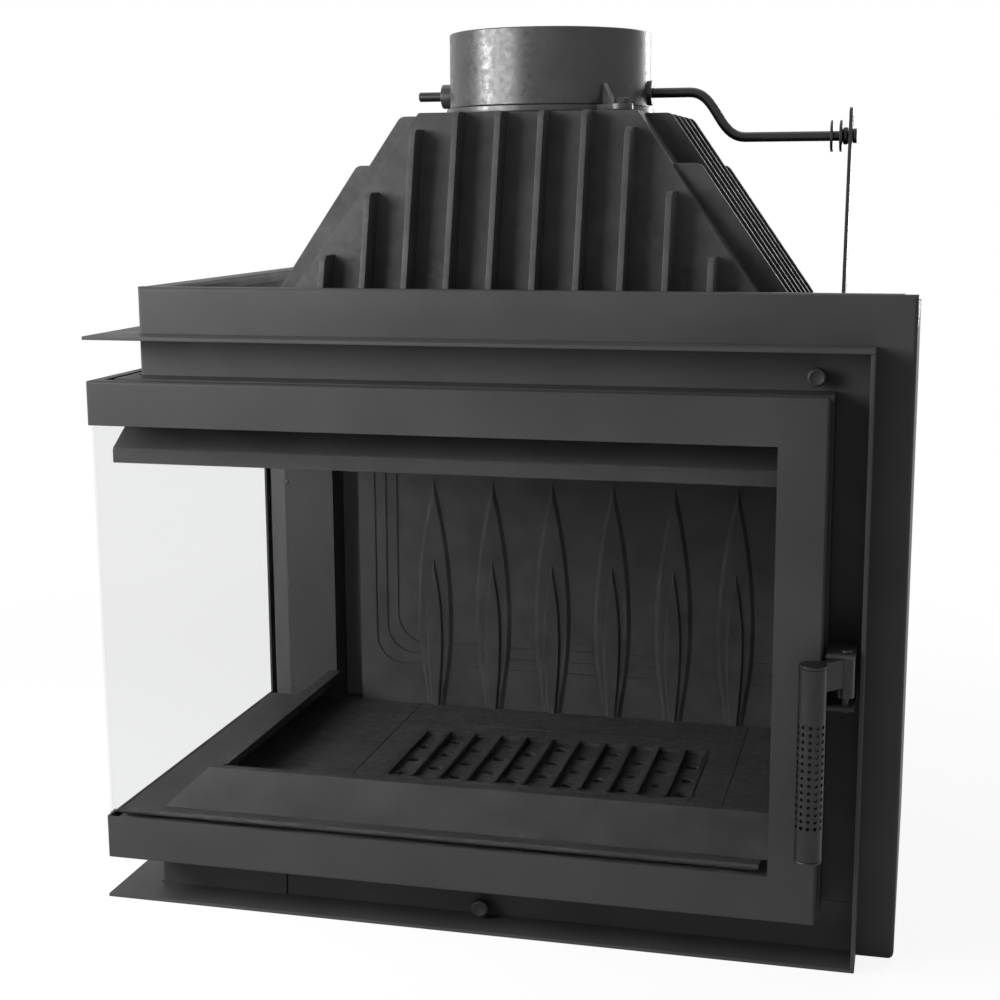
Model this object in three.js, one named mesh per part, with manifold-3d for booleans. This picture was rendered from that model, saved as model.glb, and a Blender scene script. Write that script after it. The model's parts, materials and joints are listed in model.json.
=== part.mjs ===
// Fireplace insert: a sheet-steel casing round a cast-iron hearth, with a glazed left corner, an L-shaped
// door hung at its rear left, a finned cast hood and a flue collar with a butterfly damper.
// Millimetres, +Z up. X = 0 and Y = 0 lie on the flue axis, the front faces -Y, and Z = 0 is the underside.

import * as THREE from "three";
import { mergeVertices } from "three/addons/utils/BufferGeometryUtils.js";
import Module from "manifold-3d";

const wasm = await Module();
wasm.setup();

// ---- Clearances -------------------------------------------------------------------------------------
const SEAT = 0.3; // between two pieces that are fastened or rest on each other
const RUNNING = 0.6; // round a shaft or rod that turns or slides
const DOOR_GAP = 2; // between the closed door frame and the casing

// ---- Casing -----------------------------------------------------------------------------------------
const CASING_WIDTH = 734;
const CASING_HEIGHT = 612;
const CASING_FRONT = -189;
const CASING_REAR = 221;
const SHEET = 3;
const BEND_RADIUS = 4;
const FRONT_RETURN = 12; // fold along the top and right edges of the front plate
const REAR_RETURN = 21;
const REAR_DROP = 30; // front plate's top to the tops of the rear and right walls
const SIDE_FOLD = 28; // fold along the top of each side wall
const SIDE_LIP = 11;
const CORNER_RELIEF = 12;
const MOUTH_BOTTOM = 88;
const MOUTH_DROP = 37; // door's top down to the mouth's top
const MOUTH_RIGHT = 262;
const MOUTH_REAR = 186;
const PLATE_CORNER_RADIUS = 5;
const CEILING_DROP = 55; // casing's top down to the ceiling's underside

// ---- Masking flange and lower panel -----------------------------------------------------------------
const FLANGE_REACH = 40;
const FLANGE_SHEET = 3.5;
const FLANGE_DROP = 45; // casing's top down to the flange's top
const FLANGE_RIGHT = 333;
const FLANGE_SIDE_REAR = 205;
const PANEL_LEFT = -229;
const PANEL_TOP = 51;
const PANEL_JOINT = 1.5;

// ---- Door -------------------------------------------------------------------------------------------
const DOOR_FRONT_REACH = 60;
const DOOR_SIDE_REACH = 28;
const DOOR_RIGHT = 297.6;
const DOOR_BOTTOM = 51;
const DOOR_DROP = 40; // flange's top down to the door's top
const DOOR_REAR = 212;
const BAR_BELOW = 43; // widths of the cover's bars round the view of the glass
const BAR_ABOVE = 42.5;
const BAR_RIGHT = 43.1;
const BAR_REAR = 25;
const COVER_SHEET = 2.5;
const COVER_DEPTH = 13;
const COVER_RADIUS = 3;
const FRAME_SETBACK = 3; // depth of the dark groove round the door
const FRAME_EDGE = 2.4; // what the rear frame stands out past the cover on the right
const FRAME_FRONT_DEPTH = 33;
const FRAME_SIDE_DEPTH = 8;
const FRAME_BAR_LAP = 4; // the frame's bars end this far behind the cover's bars
const STILE_WIDTH = 20;
const REAR_STILE_INSET = 3;
const GLASS_THICKNESS = 4;
const GLASS_LAP = 8;
const GLASS_STILE_LAP = 28;
const GLASS_AIR = 0.5;
const ROPE_RADIUS = 3.5;
const ROPE_INSET = 20; // from the door's top and bottom edges to the rope's centre

// ---- Door hinge -------------------------------------------------------------------------------------
const HINGE_INSET_LEFT = 7; // from the door's left face to the pins' axis
const HINGE_INSET_REAR = 9; // from the door's rear edge to the pins' axis
const HINGE_PIN_RADIUS = 4;
const HINGE_PIN_HEAD = 6; // radius
const HINGE_PIN_LENGTH = 28;
const HINGE_PLATE = 4;
const HINGE_PLATE_WIDTH = 24;
const HINGE_RUNNING = 1;

// ---- Latch handle -----------------------------------------------------------------------------------
const HANDLE_OFFSET = 26.5; // from the latch pin to the left
const HANDLE_STANDOFF = 30; // from the latch pin to the front
const HANDLE_BOTTOM = 124;
const HANDLE_TOP = 297;
const HANDLE_RADIUS = 12.25;
const HANDLE_WALL = 1.5;
const HANDLE_CAP = 3;
const HANDLE_BOLT_RADIUS = 4;
const LATCH_REACH = 17.5; // past the door frame's right edge
const LATCH_STANDOFF = 51; // in front of the front plate
const LATCH_PIN_RADIUS = 3;
const LATCH_PIN_HEAD = 4.8; // radius
const LATCH_BOSS_RADIUS = 8;
const LATCH_ARM_BOTTOM = 274;
const LATCH_ARM_THICKNESS = 8;
const TONGUE_BOTTOM = 264;
const TONGUE_TOP = 289;
const TONGUE_PAST_PLATE = 4;
const LATCH_SLOT_LEFT = 21; // room for the tongue's swing, from the latch pin
const LATCH_SLOT_RIGHT = 5.5;
const LATCH_SLOT_AIR = 6; // above and below the tongue
const LATCH_SLOT_RADIUS = 8;
const BRACKET_SHEET = 2;
const BRACKET_EAR = 3;
const BRACKET_BOTTOM = 253;
const BRACKET_REAR = -197;
const BRACKET_FRONT = -249;

// ---- Hearth -----------------------------------------------------------------------------------------
const HEARTH_TOP = 97;
const HEARTH_PLATE = 8;
const HEARTH_LEFT = -346;
const HEARTH_CENTRE_HALF_WIDTH = 195;
const HEARTH_CENTRE_HALF_DEPTH = 104;
const HEARTH_SHEET = 3;
const LINING_THICKNESS = 8;
const LINING_DROP = 5; // back plate's top down to the lining's top
const GRATE_HALF_WIDTH = 160;
const GRATE_HALF_DEPTH = 82;
const GRATE_LEDGE = 6;
const GRATE_RIBS = 10;
const GRATE_PITCH = 29.8;
const GRATE_RIB_WIDTH = 7;
const GRATE_RIB_RISE = 1.5;
const GRATE_HOLE_RADIUS = 6.5;
const GRATE_HOLE_ROWS = 3;
const GRATE_HOLE_PITCH = 43;
const GRATE_STAGGER = 22;
const ASH_PAN_DEPTH = 62;
const ASH_PAN_SHEET = 1.5;
const ASH_PAN_MARGIN = 6;

// ---- Cast back plate --------------------------------------------------------------------------------
const BACK_FACE = 173;
const BACK_THICKNESS = 12;
const BACK_GAP = 33; // between the rear-left post and the plate
const BACK_DROP = 20; // mouth's top down to the plate's top
const LEAF_COUNT = 6;
const LEAF_PITCH = 70.8;
const LEAF_TIP = 373;
const LEAF_BELLY = 206;
const LEAF_HALF_WIDTH = 21.5;
const LEAF_FOOT_HALF_WIDTH = 11;
const LEAF_TIP_HALF_WIDTH = 3;
const LEAF_FOOT_PULL = 0.45; // share of the height below the belly that each end pulls straight
const LEAF_BELLY_PULL = 0.5; // shares of the height above the belly
const LEAF_TIP_PULL = 0.25;
const LEAF_RELIEF = 3;
const INNER_LEAF_TIP = 276;
const INNER_LEAF_HALF_WIDTH = 10;
const INNER_LEAF_FOOT_HALF_WIDTH = 5.5;
const GROOVE_COUNT = 3;
const GROOVE_LEFT = -250;
const GROOVE_BOTTOM = 145;
const GROOVE_PITCH = 13.5;
const GROOVE_WIDTH = 2.2;
const GROOVE_DEPTH = 1.6;
const GROOVE_BEND = 34;

// ---- Log guard, sill, post, deflector and baffle ----------------------------------------------------
const GUARD_FRONT = -218;
const GUARD_LEFT = -347;
const GUARD_HEIGHT = 33;
const GUARD_LEAN = 33;
const GUARD_SIDE_LEAN = 35;
const GUARD_LIP = 9;
const GUARD_SIDE_LIP = 15;
const GUARD_PLATE = 9;
const GUARD_RIGHT = 252;
const SILL_FRONT = -236;
const SILL_AIR = 1; // to the side glass
const SILL_RIGHT = 246;
const SILL_SHEET = 3;
const SILL_NOSE_RADIUS = 3;
const SILL_SIDE_REAR = 172;
const POST_FACE = 175;
const POST_RIGHT = -303;
const POST_RETURN = 38;
const DEFLECTOR_FRONT = -217;
const DEFLECTOR_AIR = 2; // to the side glass
const DEFLECTOR_RIGHT = 254;
const DEFLECTOR_DROP = 40.5; // top of the glass's view down to the lip's lower edge
const DEFLECTOR_LIP = 14;
const DEFLECTOR_RISE = 20;
const DEFLECTOR_LEG_GAP = 17; // to the ceiling
const BAFFLE_THICKNESS = 10;
const BAFFLE_SIDE_GAP = 3;
const BAFFLE_FRONT = -60;
const BAFFLE_CEILING_GAP = 16.7; // over its front edge
const BAFFLE_BAR_RADIUS = 6;

// ---- Hood -------------------------------------------------------------------------------------------
const HOOD_SKIRT = 35.7; // upright foot of the hood
const HOOD_SLOPE = 179; // height of the sloping faces
const HOOD_TOP_HALF = 106;
const HOOD_SPREAD_X = 0.7; // half-width gained for each millimetre down the slope
const HOOD_SPREAD_Y = 0.255;
const HOOD_WALL = 6;
const HOOD_RIB_THICKNESS = 6;
const FRONT_RIB_COUNT = 10;
const FRONT_RIB_PITCH = 41;
const FRONT_RIB_DEPTH = 27;
const FRONT_RIB_SHOULDER = 14.7; // hood edge to the centre of a rib at the rib's top
const SIDE_RIB_COUNT = 7;
const SIDE_RIB_PITCH = 37;
const SIDE_RIB_DEPTH = 26;
const SIDE_RIB_DROP = 2; // hood's top down to the middle ribs' tops
const SIDE_RIB_SHOULDER = 5;
const SIDE_RIB_STEP = 10; // the outer ribs end lower by this and by what the slope asks
const RIB_CORNER_RADIUS = 9;

// ---- Flue collar ------------------------------------------------------------------------------------
const COLLAR_RADIUS = 100;
const COLLAR_WALL = 5;
const COLLAR_HEIGHT = 71.5;
const COLLAR_RING_HEIGHT = 6.5; // hood's top up to the collar's seam
const COLLAR_RING_STEP = 3.5;
const BOSS_RADIUS = 12;
const BOSS_RISE = 1.5; // seam up to the bosses' underside
const BOSS_REACH_RIGHT = 3.5;
const BOSS_REACH_LEFT = 11;
const LUG_RADIUS = 129;
const LUG_ANGLE = -46.5;
const LUG_HALF_WIDTH = 11;
const LUG_WEB = 5;
const LUG_WEB_HEIGHT = 20;
const COLLAR_BOLT_RADIUS = 4;
const COLLAR_BOLT_HEAD = 7;
const COLLAR_BOLT_HEAD_HEIGHT = 5;

// ---- Damper and its control -------------------------------------------------------------------------
const SHAFT_RADIUS = 4.75;
const SHAFT_LEFT = -136;
const SHAFT_RIGHT = 300;
const CRANK_THROW = 43.5;
const CRANK_START = 140;
const CRANK_END = 195;
const DISC_RADIUS = 91;
const DISC_THICKNESS = 3;
const CRANK_WASHER_RADIUS = 15;
const CRANK_WASHER_THICKNESS = 2.6;
const CRANK_WASHER_X = 277;
const CRANK_WASHER_GAP = 6;
const CRANK_NUT_RADIUS = 9.5;
const CRANK_NUT_WIDTH = 5.2;
const SHAFT_NUB_RADIUS = 7;
const SHAFT_NUB_WIDTH = 4;
const STRAP_THICKNESS = 3.4;
const STRAP_WIDTH = 26;
const STRAP_LEAN = 14; // degrees from upright, the lower end to the front
const STRAP_SLOT_AIR = 1.8;
const STRAP_SLOT_RISE = 22;
const STRAP_EDGE = 5;
const ROD_RADIUS = 3;
const ROD_X = 283;
const ROD_OVER_DOOR = 13;
const ROD_REAR = 20;
const ROD_BOSS_RADIUS = 6;
const ROD_GUIDE_Y = -30;
const ROD_GUIDE_MARGIN = 12;

// ---- Knobs and air control --------------------------------------------------------------------------
const KNOB_RADIUS = 8.5;
const KNOB_LENGTH = 12;
const KNOB_EDGE = 2; // rounding of the rims
const KNOB_SHOULDER = 3; // depth of the turned front rim
const KNOB_STANDOFF = 5;
const AIR_X = -25;
const AIR_Z = 15.3;
const AIR_SHUTTER_Y = -142;
const AIR_SHUTTER_THICKNESS = 2.5;
const AIR_SHUTTER_WIDTH = 96;
const AIR_SHUTTER_HEIGHT = 30;
const AIR_SHUTTER_LAP = 5;
const AIR_DUCT_SHEET = 2;

// ---- Values worked out from the sizes above -----------------------------------------------------------
const HALF = CASING_WIDTH / 2;
const INNER = HALF - SHEET - SEAT;
const PLATE_BACK = CASING_FRONT + SHEET;
const INNER_FRONT = PLATE_BACK + SEAT;
const INNER_REAR = CASING_REAR - SHEET - SEAT;
const FLANGE_LEFT = -HALF - FLANGE_REACH;
const FLANGE_FRONT = CASING_FRONT - FLANGE_REACH;
const FLANGE_TOP = CASING_HEIGHT - FLANGE_DROP;
const DOOR_TOP = FLANGE_TOP - DOOR_DROP;
const VIEW_BOTTOM = DOOR_BOTTOM + BAR_BELOW;
const VIEW_TOP = DOOR_TOP - BAR_ABOVE;
const VIEW_RIGHT = DOOR_RIGHT - BAR_RIGHT;
const VIEW_REAR = DOOR_REAR - BAR_REAR;
const MOUTH_TOP = DOOR_TOP - MOUTH_DROP;
const BACK_TOP = MOUTH_TOP - BACK_DROP;
const LINING_TOP = BACK_TOP - LINING_DROP;
const DEFLECTOR_BOTTOM = VIEW_TOP - DEFLECTOR_DROP;
const ROD_Z = DOOR_TOP + ROD_OVER_DOOR;
const DOOR_FRONT = CASING_FRONT - DOOR_FRONT_REACH;
const DOOR_LEFT = -HALF - DOOR_SIDE_REACH;
const FRAME_BACK = CASING_FRONT - DOOR_GAP;
const FRAME_INNER_X = -HALF - DOOR_GAP;
const GLASS_FRONT = DOOR_FRONT + COVER_SHEET + GLASS_AIR;
const GLASS_BACK = GLASS_FRONT + GLASS_THICKNESS;
const GLASS_LEFT = DOOR_LEFT + COVER_SHEET + GLASS_AIR;
const GLASS_INNER_X = GLASS_LEFT + GLASS_THICKNESS;
const HEARTH_UNDERSIDE = HEARTH_TOP - HEARTH_PLATE;
const HEARTH_SHEET_TOP = HEARTH_UNDERSIDE - SEAT;
const HEARTH_SHEET_BOTTOM = HEARTH_SHEET_TOP - HEARTH_SHEET;
const LINING_RIGHT = MOUTH_RIGHT + LINING_THICKNESS;
const HEARTH_WALL = LINING_RIGHT + SEAT;
const HEARTH_REAR = BACK_FACE - SEAT;
const BACK_LEFT = POST_RIGHT + BACK_GAP;
const SILL_LEFT = GLASS_INNER_X + SILL_AIR;
const DEFLECTOR_LEFT = GLASS_INNER_X + DEFLECTOR_AIR;
const HINGE_X = DOOR_LEFT + HINGE_INSET_LEFT;
const HINGE_Y = DOOR_REAR - HINGE_INSET_REAR;
const LATCH_X = DOOR_RIGHT + FRAME_EDGE + LATCH_REACH;
const LATCH_Y = CASING_FRONT - LATCH_STANDOFF;
const HANDLE_X = LATCH_X - HANDLE_OFFSET;
const HANDLE_Y = LATCH_Y - HANDLE_STANDOFF;
const REAR_TOP = CASING_HEIGHT - REAR_DROP;
const CEILING_UNDERSIDE = CASING_HEIGHT - CEILING_DROP;
const DEFLECTOR_LEG_TOP = CEILING_UNDERSIDE - DEFLECTOR_LEG_GAP;
const BAFFLE_FRONT_UNDERSIDE = CEILING_UNDERSIDE - BAFFLE_CEILING_GAP - BAFFLE_THICKNESS;
const BAFFLE_REAR_UNDERSIDE = BACK_TOP + SEAT;
const CEILING_TOP = CEILING_UNDERSIDE + HEARTH_SHEET;
const HOOD_BOTTOM = CEILING_TOP + SEAT;
const HOOD_SLOPE_FOOT = HOOD_BOTTOM + HOOD_SKIRT;
const HOOD_TOP = HOOD_SLOPE_FOOT + HOOD_SLOPE;
const COLLAR_SEAM = HOOD_TOP + COLLAR_RING_HEIGHT;
const COLLAR_TOP = COLLAR_SEAM + COLLAR_HEIGHT;
const DAMPER_HEIGHT = COLLAR_SEAM + BOSS_RISE + BOSS_RADIUS;
const CRANK_Z = DAMPER_HEIGHT - CRANK_THROW;
const OUTER_WASHER_X = CRANK_WASHER_X + CRANK_WASHER_THICKNESS + CRANK_WASHER_GAP;
const CRANK_NUT_X = OUTER_WASHER_X + CRANK_WASHER_THICKNESS + SEAT;
const STRAP_X = CRANK_NUT_X + CRANK_NUT_WIDTH + 2 * SEAT;
const STRAP_TAN = Math.tan(THREE.MathUtils.degToRad(STRAP_LEAN));
const STRAP_FOOT_Y = -(CRANK_Z - ROD_Z) * STRAP_TAN;
const KNOB_BACK = CASING_FRONT - KNOB_STANDOFF;

// ---- Finishes ---------------------------------------------------------------------------------------
function finish(color, roughness, metalness) {
  return new THREE.MeshStandardMaterial({ color, roughness, metalness });
}

const PAINTED = finish(0x3a3b3d, 0.62, 0.3);
const DOOR_PAINT = finish(0x434446, 0.55, 0.3);
const CAST_IRON = finish(0x2d2e30, 0.75, 0.35);
const HEARTH_IRON = finish(0x353637, 0.8, 0.3);
const STEEL = finish(0x55575a, 0.45, 0.8);
const FASTENER = finish(0x26272a, 0.5, 0.7);
const GLASS = finish(0xdfe6e8, 0.05, 0);
const ROPE = finish(0x1e1e1f, 0.95, 0);
const KNOB_FINISH = finish(0x1c1d1f, 0.4, 0.4);

// ---- Solid tools ------------------------------------------------------------------------------------

// Facets in a rounded corner and in a quarter of a curve, and round the pieces of each size.
const ARC_STEPS = 4;
const CURVE_STEPS = 4;
const HEXAGON = 6;
const HOLE_SIDES = 8;
const PIN_SIDES = 12;
const BAR_SIDES = 16;
const KNOB_SIDES = 20;
const TUBE_SIDES = 24;
const FLUE_SIDES = 48;
const CRANK_STEPS = 14;

/** A closed three.js geometry as a solid that can be joined and cut. */
function solid(geometry) {
  geometry.deleteAttribute("normal");
  geometry.deleteAttribute("uv");
  const merged = mergeVertices(geometry, 1e-4);
  const vertProperties = merged.attributes.position.array;
  const triVerts = new Uint32Array(merged.index.array);
  return new wasm.Manifold(new wasm.Mesh({ numProp: 3, vertProperties, triVerts }));
}

/** A box between two X, two Y and two Z values. */
function block([x0, x1], [y0, y1], [z0, z1]) {
  const box = new THREE.BoxGeometry(x1 - x0, y1 - y0, z1 - z0);
  return solid(box.translate((x0 + x1) / 2, (y0 + y1) / 2, (z0 + z1) / 2));
}

/** A closed outline through corners [u, v] or [u, v, radius]; a radius rounds its corner with an arc. */
function outline(corners) {
  const points = corners.flatMap(([u, v, radius], i) => {
    const here = new THREE.Vector2(u, v);
    if (!radius) return [here];
    const last = corners[(i + corners.length - 1) % corners.length];
    const next = corners[(i + 1) % corners.length];
    const back = new THREE.Vector2(last[0], last[1]).sub(here).normalize();
    const on = new THREE.Vector2(next[0], next[1]).sub(here).normalize();
    const half = Math.acos(THREE.MathUtils.clamp(back.dot(on), -1, 1)) / 2;
    const reach = radius / Math.tan(half);
    const centre = back.clone().add(on).setLength(radius / Math.sin(half)).add(here);
    const from = back.clone().multiplyScalar(reach).add(here).sub(centre);
    const to = on.clone().multiplyScalar(reach).add(here).sub(centre);
    const turn = Math.atan2(from.cross(to), from.dot(to));
    const step = (k) => from.clone().rotateAround(new THREE.Vector2(), (turn * k) / ARC_STEPS).add(centre);
    return Array.from({ length: ARC_STEPS + 1 }, (_, k) => step(k));
  });
  return new THREE.Shape(points);
}

// Each axis's frame: where an outline's u and v and its depth point.
const FRAMES = {
  x: [new THREE.Vector3(0, 1, 0), new THREE.Vector3(0, 0, 1), new THREE.Vector3(1, 0, 0)],
  y: [new THREE.Vector3(1, 0, 0), new THREE.Vector3(0, 0, 1), new THREE.Vector3(0, -1, 0)],
  z: [new THREE.Vector3(1, 0, 0), new THREE.Vector3(0, 1, 0), new THREE.Vector3(0, 0, 1)],
};

/** An outline (YZ for x, XZ for y, XY for z) drawn out along its axis between two values. */
function prism(axis, shape, [low, high], segments = CURVE_STEPS) {
  const form = Array.isArray(shape) ? outline(shape) : shape;
  const options = { depth: high - low, bevelEnabled: false, curveSegments: segments };
  const geometry = new THREE.ExtrudeGeometry(form, options);
  const [u, v, w] = FRAMES[axis];
  geometry.applyMatrix4(new THREE.Matrix4().makeBasis(u, v, w));
  const start = axis === "y" ? high : low;
  geometry.translate(axis === "x" ? start : 0, axis === "y" ? start : 0, axis === "z" ? start : 0);
  return solid(geometry);
}

/** A round bar along an axis, centred at (u, v) in the plane across it. */
function rod(axis, [u, v], radius, [low, high], sides = BAR_SIDES) {
  const geometry = new THREE.CylinderGeometry(radius, radius, high - low, sides);
  const middle = (low + high) / 2;
  if (axis === "x") geometry.rotateZ(-Math.PI / 2).translate(middle, u, v);
  if (axis === "y") geometry.translate(u, middle, v);
  if (axis === "z") geometry.rotateX(Math.PI / 2).translate(u, v, middle);
  return solid(geometry);
}

const join = (first, ...others) => others.reduce((whole, part) => whole.add(part), first);
const cut = (first, ...others) => others.reduce((whole, part) => whole.subtract(part), first);
const common = (first, ...others) => others.reduce((whole, part) => whole.intersect(part), first);
const span = (middle, half) => [middle - half, middle + half];
const row = (count, pitch) => Array.from({ length: count }, (_, i) => (i - (count - 1) / 2) * pitch);

const insert = new THREE.Group();

/** Adds a solid to the insert as a named mesh. */
function place(name, body, material) {
  const { vertProperties, triVerts } = body.getMesh();
  const geometry = new THREE.BufferGeometry();
  geometry.setAttribute("position", new THREE.BufferAttribute(vertProperties, 3));
  geometry.setIndex(new THREE.BufferAttribute(triVerts, 1));
  geometry.computeVertexNormals();
  const mesh = new THREE.Mesh(geometry, material);
  mesh.name = name;
  insert.add(mesh);
}

// ---- Casing -----------------------------------------------------------------------------------------

/** Front plate: one sheet with folded top and right edges, cut for the hearth, panel, latch and rod. */
function frontPlate() {
  const depth = [CASING_FRONT, CASING_FRONT + FRONT_RETURN];
  const sheet = join(
    block([-HALF, HALF], [CASING_FRONT, PLATE_BACK], [0, CASING_HEIGHT]),
    block([-HALF, HALF - CORNER_RELIEF], depth, [CASING_HEIGHT - SHEET, CASING_HEIGHT]),
    block([HALF - SHEET, HALF], depth, [0, CASING_HEIGHT - CORNER_RELIEF]),
  );
  const far = CASING_FRONT + FRONT_RETURN + SHEET;
  const topBend = [
    [CASING_FRONT, 0],
    [far, 0],
    [far, CASING_HEIGHT],
    [CASING_FRONT, CASING_HEIGHT, BEND_RADIUS],
  ];
  const sideBends = [
    [-HALF, CASING_FRONT, BEND_RADIUS],
    [HALF, CASING_FRONT, BEND_RADIUS],
    [HALF, far],
    [-HALF, far],
  ];
  const face = [
    [-HALF, 0],
    [HALF, 0, PLATE_CORNER_RADIUS],
    [HALF, CASING_HEIGHT],
    [-HALF, CASING_HEIGHT],
  ];
  const bends = common(
    prism("x", topBend, [-HALF, HALF]),
    prism("z", sideBends, [0, CASING_HEIGHT]),
    prism("y", face, [CASING_FRONT, far]),
  );
  const through = [CASING_FRONT - SHEET, PLATE_BACK + SHEET];
  return cut(
    common(sheet, bends),
    block([-HALF - SHEET, MOUTH_RIGHT], through, [MOUTH_BOTTOM, MOUTH_TOP]),
    block([PANEL_LEFT - PANEL_JOINT, panelRight() + PANEL_JOINT], through, [-SHEET, PANEL_TOP + SEAT]),
    prism("y", latchSlot(), through),
    rod("y", [ROD_X, ROD_Z], ROD_RADIUS + RUNNING, through),
  );
}

const panelRight = () => FLANGE_RIGHT - FLANGE_SHEET - SEAT;

/** Outline of the slot that the latch tongue passes through. */
function latchSlot() {
  const [left, right] = [LATCH_X - LATCH_SLOT_LEFT, LATCH_X + LATCH_SLOT_RIGHT];
  const [bottom, top] = [TONGUE_BOTTOM - LATCH_SLOT_AIR, TONGUE_TOP + LATCH_SLOT_AIR];
  const radius = LATCH_SLOT_RADIUS;
  return [[left, bottom, radius], [right, bottom, radius], [right, top, radius], [left, top, radius]];
}

/** Bent edge along the top of a side wall, on the side where sign is -1 (left) or 1 (right). */
function sideFold(sign, top) {
  const at = (inset) => sign * (HALF - inset);
  const section = [
    [at(0), top - 2 * SIDE_LIP],
    [at(0), top, BEND_RADIUS],
    [at(SIDE_FOLD), top, BEND_RADIUS],
    [at(SIDE_FOLD), top - SIDE_LIP],
    [at(SIDE_FOLD - SHEET), top - SIDE_LIP],
    [at(SIDE_FOLD - SHEET), top - SHEET],
    [at(SHEET), top - SHEET],
    [at(SHEET), top - 2 * SIDE_LIP],
  ];
  return prism("y", section, [CASING_FRONT + FRONT_RETURN + SEAT, INNER_REAR]);
}

/** Left wall: upper band, lower band and rear strip round the glazed corner. */
function leftWall() {
  const thickness = [-HALF, -HALF + SHEET];
  return join(
    block(thickness, [INNER_FRONT, INNER_REAR], [MOUTH_TOP, CASING_HEIGHT - SHEET - SIDE_LIP]),
    block(thickness, [INNER_FRONT, INNER_REAR], [0, MOUTH_BOTTOM]),
    block(thickness, [MOUTH_REAR, INNER_REAR], [0, CASING_HEIGHT - SHEET - SIDE_LIP]),
    sideFold(-1, CASING_HEIGHT),
  );
}

function rightWall() {
  const depth = [CASING_FRONT + FRONT_RETURN + SEAT, INNER_REAR];
  return join(block([HALF - SHEET, HALF], depth, [0, REAR_TOP - SHEET - SIDE_LIP]), sideFold(1, REAR_TOP));
}

function rearWall() {
  const foldHalf = HALF - SIDE_FOLD - SEAT;
  const near = CASING_REAR - REAR_RETURN;
  const top = REAR_TOP;
  const sheet = join(
    block([-HALF, HALF], [CASING_REAR - SHEET, CASING_REAR], [0, top]),
    block([-foldHalf, foldHalf], [near, CASING_REAR], [top - SHEET, top]),
  );
  const bend = [[near, 0], [CASING_REAR, 0], [CASING_REAR, top, BEND_RADIUS], [near, top]];
  return common(sheet, prism("x", bend, [-HALF, HALF]));
}

const basePan = () => block([-INNER, INNER], [INNER_FRONT, INNER_REAR], [0, SHEET]);

/** Hearth ceiling with the opening under the hood. */
function ceiling() {
  const halfX = hoodHalfX(HOOD_SLOPE_FOOT) - 2 * HOOD_WALL;
  const halfY = hoodHalfY(HOOD_SLOPE_FOOT) - 2 * HOOD_WALL;
  const height = [CEILING_UNDERSIDE, CEILING_TOP];
  return cut(
    block([-INNER, HEARTH_WALL + HEARTH_SHEET], [INNER_FRONT, INNER_REAR], height),
    block([-halfX, halfX], [-halfY, halfY], [CEILING_UNDERSIDE - SHEET, CEILING_TOP + SHEET]),
  );
}

/** Horizontal arm of the masking flange: across the front and back along the left side. */
function flangeArm(bottom) {
  const height = [bottom, bottom + FLANGE_SHEET];
  return join(
    block([FLANGE_LEFT, FLANGE_RIGHT], [FLANGE_FRONT, CASING_FRONT - SEAT], height),
    block([FLANGE_LEFT, -HALF - SEAT], [FLANGE_FRONT, FLANGE_SIDE_REAR], height),
  );
}

function flangeUpright() {
  return block(
    [FLANGE_RIGHT - FLANGE_SHEET, FLANGE_RIGHT],
    [FLANGE_FRONT, CASING_FRONT - SEAT],
    [FLANGE_SHEET + SEAT, FLANGE_TOP - FLANGE_SHEET - SEAT],
  );
}

function lowerPanel() {
  const depth = [CASING_FRONT, PLATE_BACK];
  const face = block([PANEL_LEFT, panelRight()], depth, [FLANGE_SHEET + SEAT, PANEL_TOP]);
  const through = [CASING_FRONT - SHEET, PLATE_BACK + SHEET];
  return cut(face, rod("y", [AIR_X, AIR_Z], ROD_RADIUS + RUNNING, through));
}

function makeCasing() {
  place("front_plate", frontPlate(), PAINTED);
  place("left_wall", leftWall(), PAINTED);
  place("right_wall", rightWall(), PAINTED);
  place("rear_wall", rearWall(), PAINTED);
  place("base_pan", basePan(), PAINTED);
  place("hearth_ceiling", ceiling(), PAINTED);
  place("flange_top", flangeArm(FLANGE_TOP - FLANGE_SHEET), PAINTED);
  place("flange_bottom", flangeArm(0), PAINTED);
  place("flange_right", flangeUpright(), PAINTED);
  place("lower_front_panel", lowerPanel(), PAINTED);
}

// ---- Hearth -----------------------------------------------------------------------------------------

/** Welded sheet that carries the cast floor, open under the grate. */
function hearthSheet() {
  const halfX = GRATE_HALF_WIDTH - GRATE_LEDGE;
  const halfY = GRATE_HALF_DEPTH - GRATE_LEDGE;
  return cut(
    block([-INNER, LINING_RIGHT], [INNER_FRONT, INNER_REAR], [HEARTH_SHEET_BOTTOM, HEARTH_SHEET_TOP]),
    block([-halfX, halfX], [-halfY, halfY], [HEARTH_SHEET_BOTTOM - SHEET, HEARTH_TOP]),
  );
}

function hearthSideWall() {
  const height = [SHEET + SEAT, CEILING_UNDERSIDE - SEAT];
  return block([HEARTH_WALL, HEARTH_WALL + HEARTH_SHEET], [INNER_FRONT, INNER_REAR], height);
}

function makeFloor() {
  const height = [HEARTH_UNDERSIDE, HEARTH_TOP];
  const side = HEARTH_CENTRE_HALF_WIDTH;
  const deep = HEARTH_CENTRE_HALF_DEPTH;
  const depth = [INNER_FRONT, HEARTH_REAR];
  const through = [0, 2 * HEARTH_TOP];
  const opening = block(span(0, GRATE_HALF_WIDTH + SEAT), span(0, GRATE_HALF_DEPTH + SEAT), through);
  const centre = cut(block([-side, side], [-deep, deep], height), opening);
  place("floor_left", block([HEARTH_LEFT, -side - SEAT], depth, height), HEARTH_IRON);
  place("floor_right", block([side + SEAT, LINING_RIGHT], depth, height), HEARTH_IRON);
  place("floor_front", block([-side, side], [INNER_FRONT, -deep - SEAT], height), HEARTH_IRON);
  place("floor_rear", block([-side, side], [deep + SEAT, HEARTH_REAR], height), HEARTH_IRON);
  place("floor_centre", centre, HEARTH_IRON);
}

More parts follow.
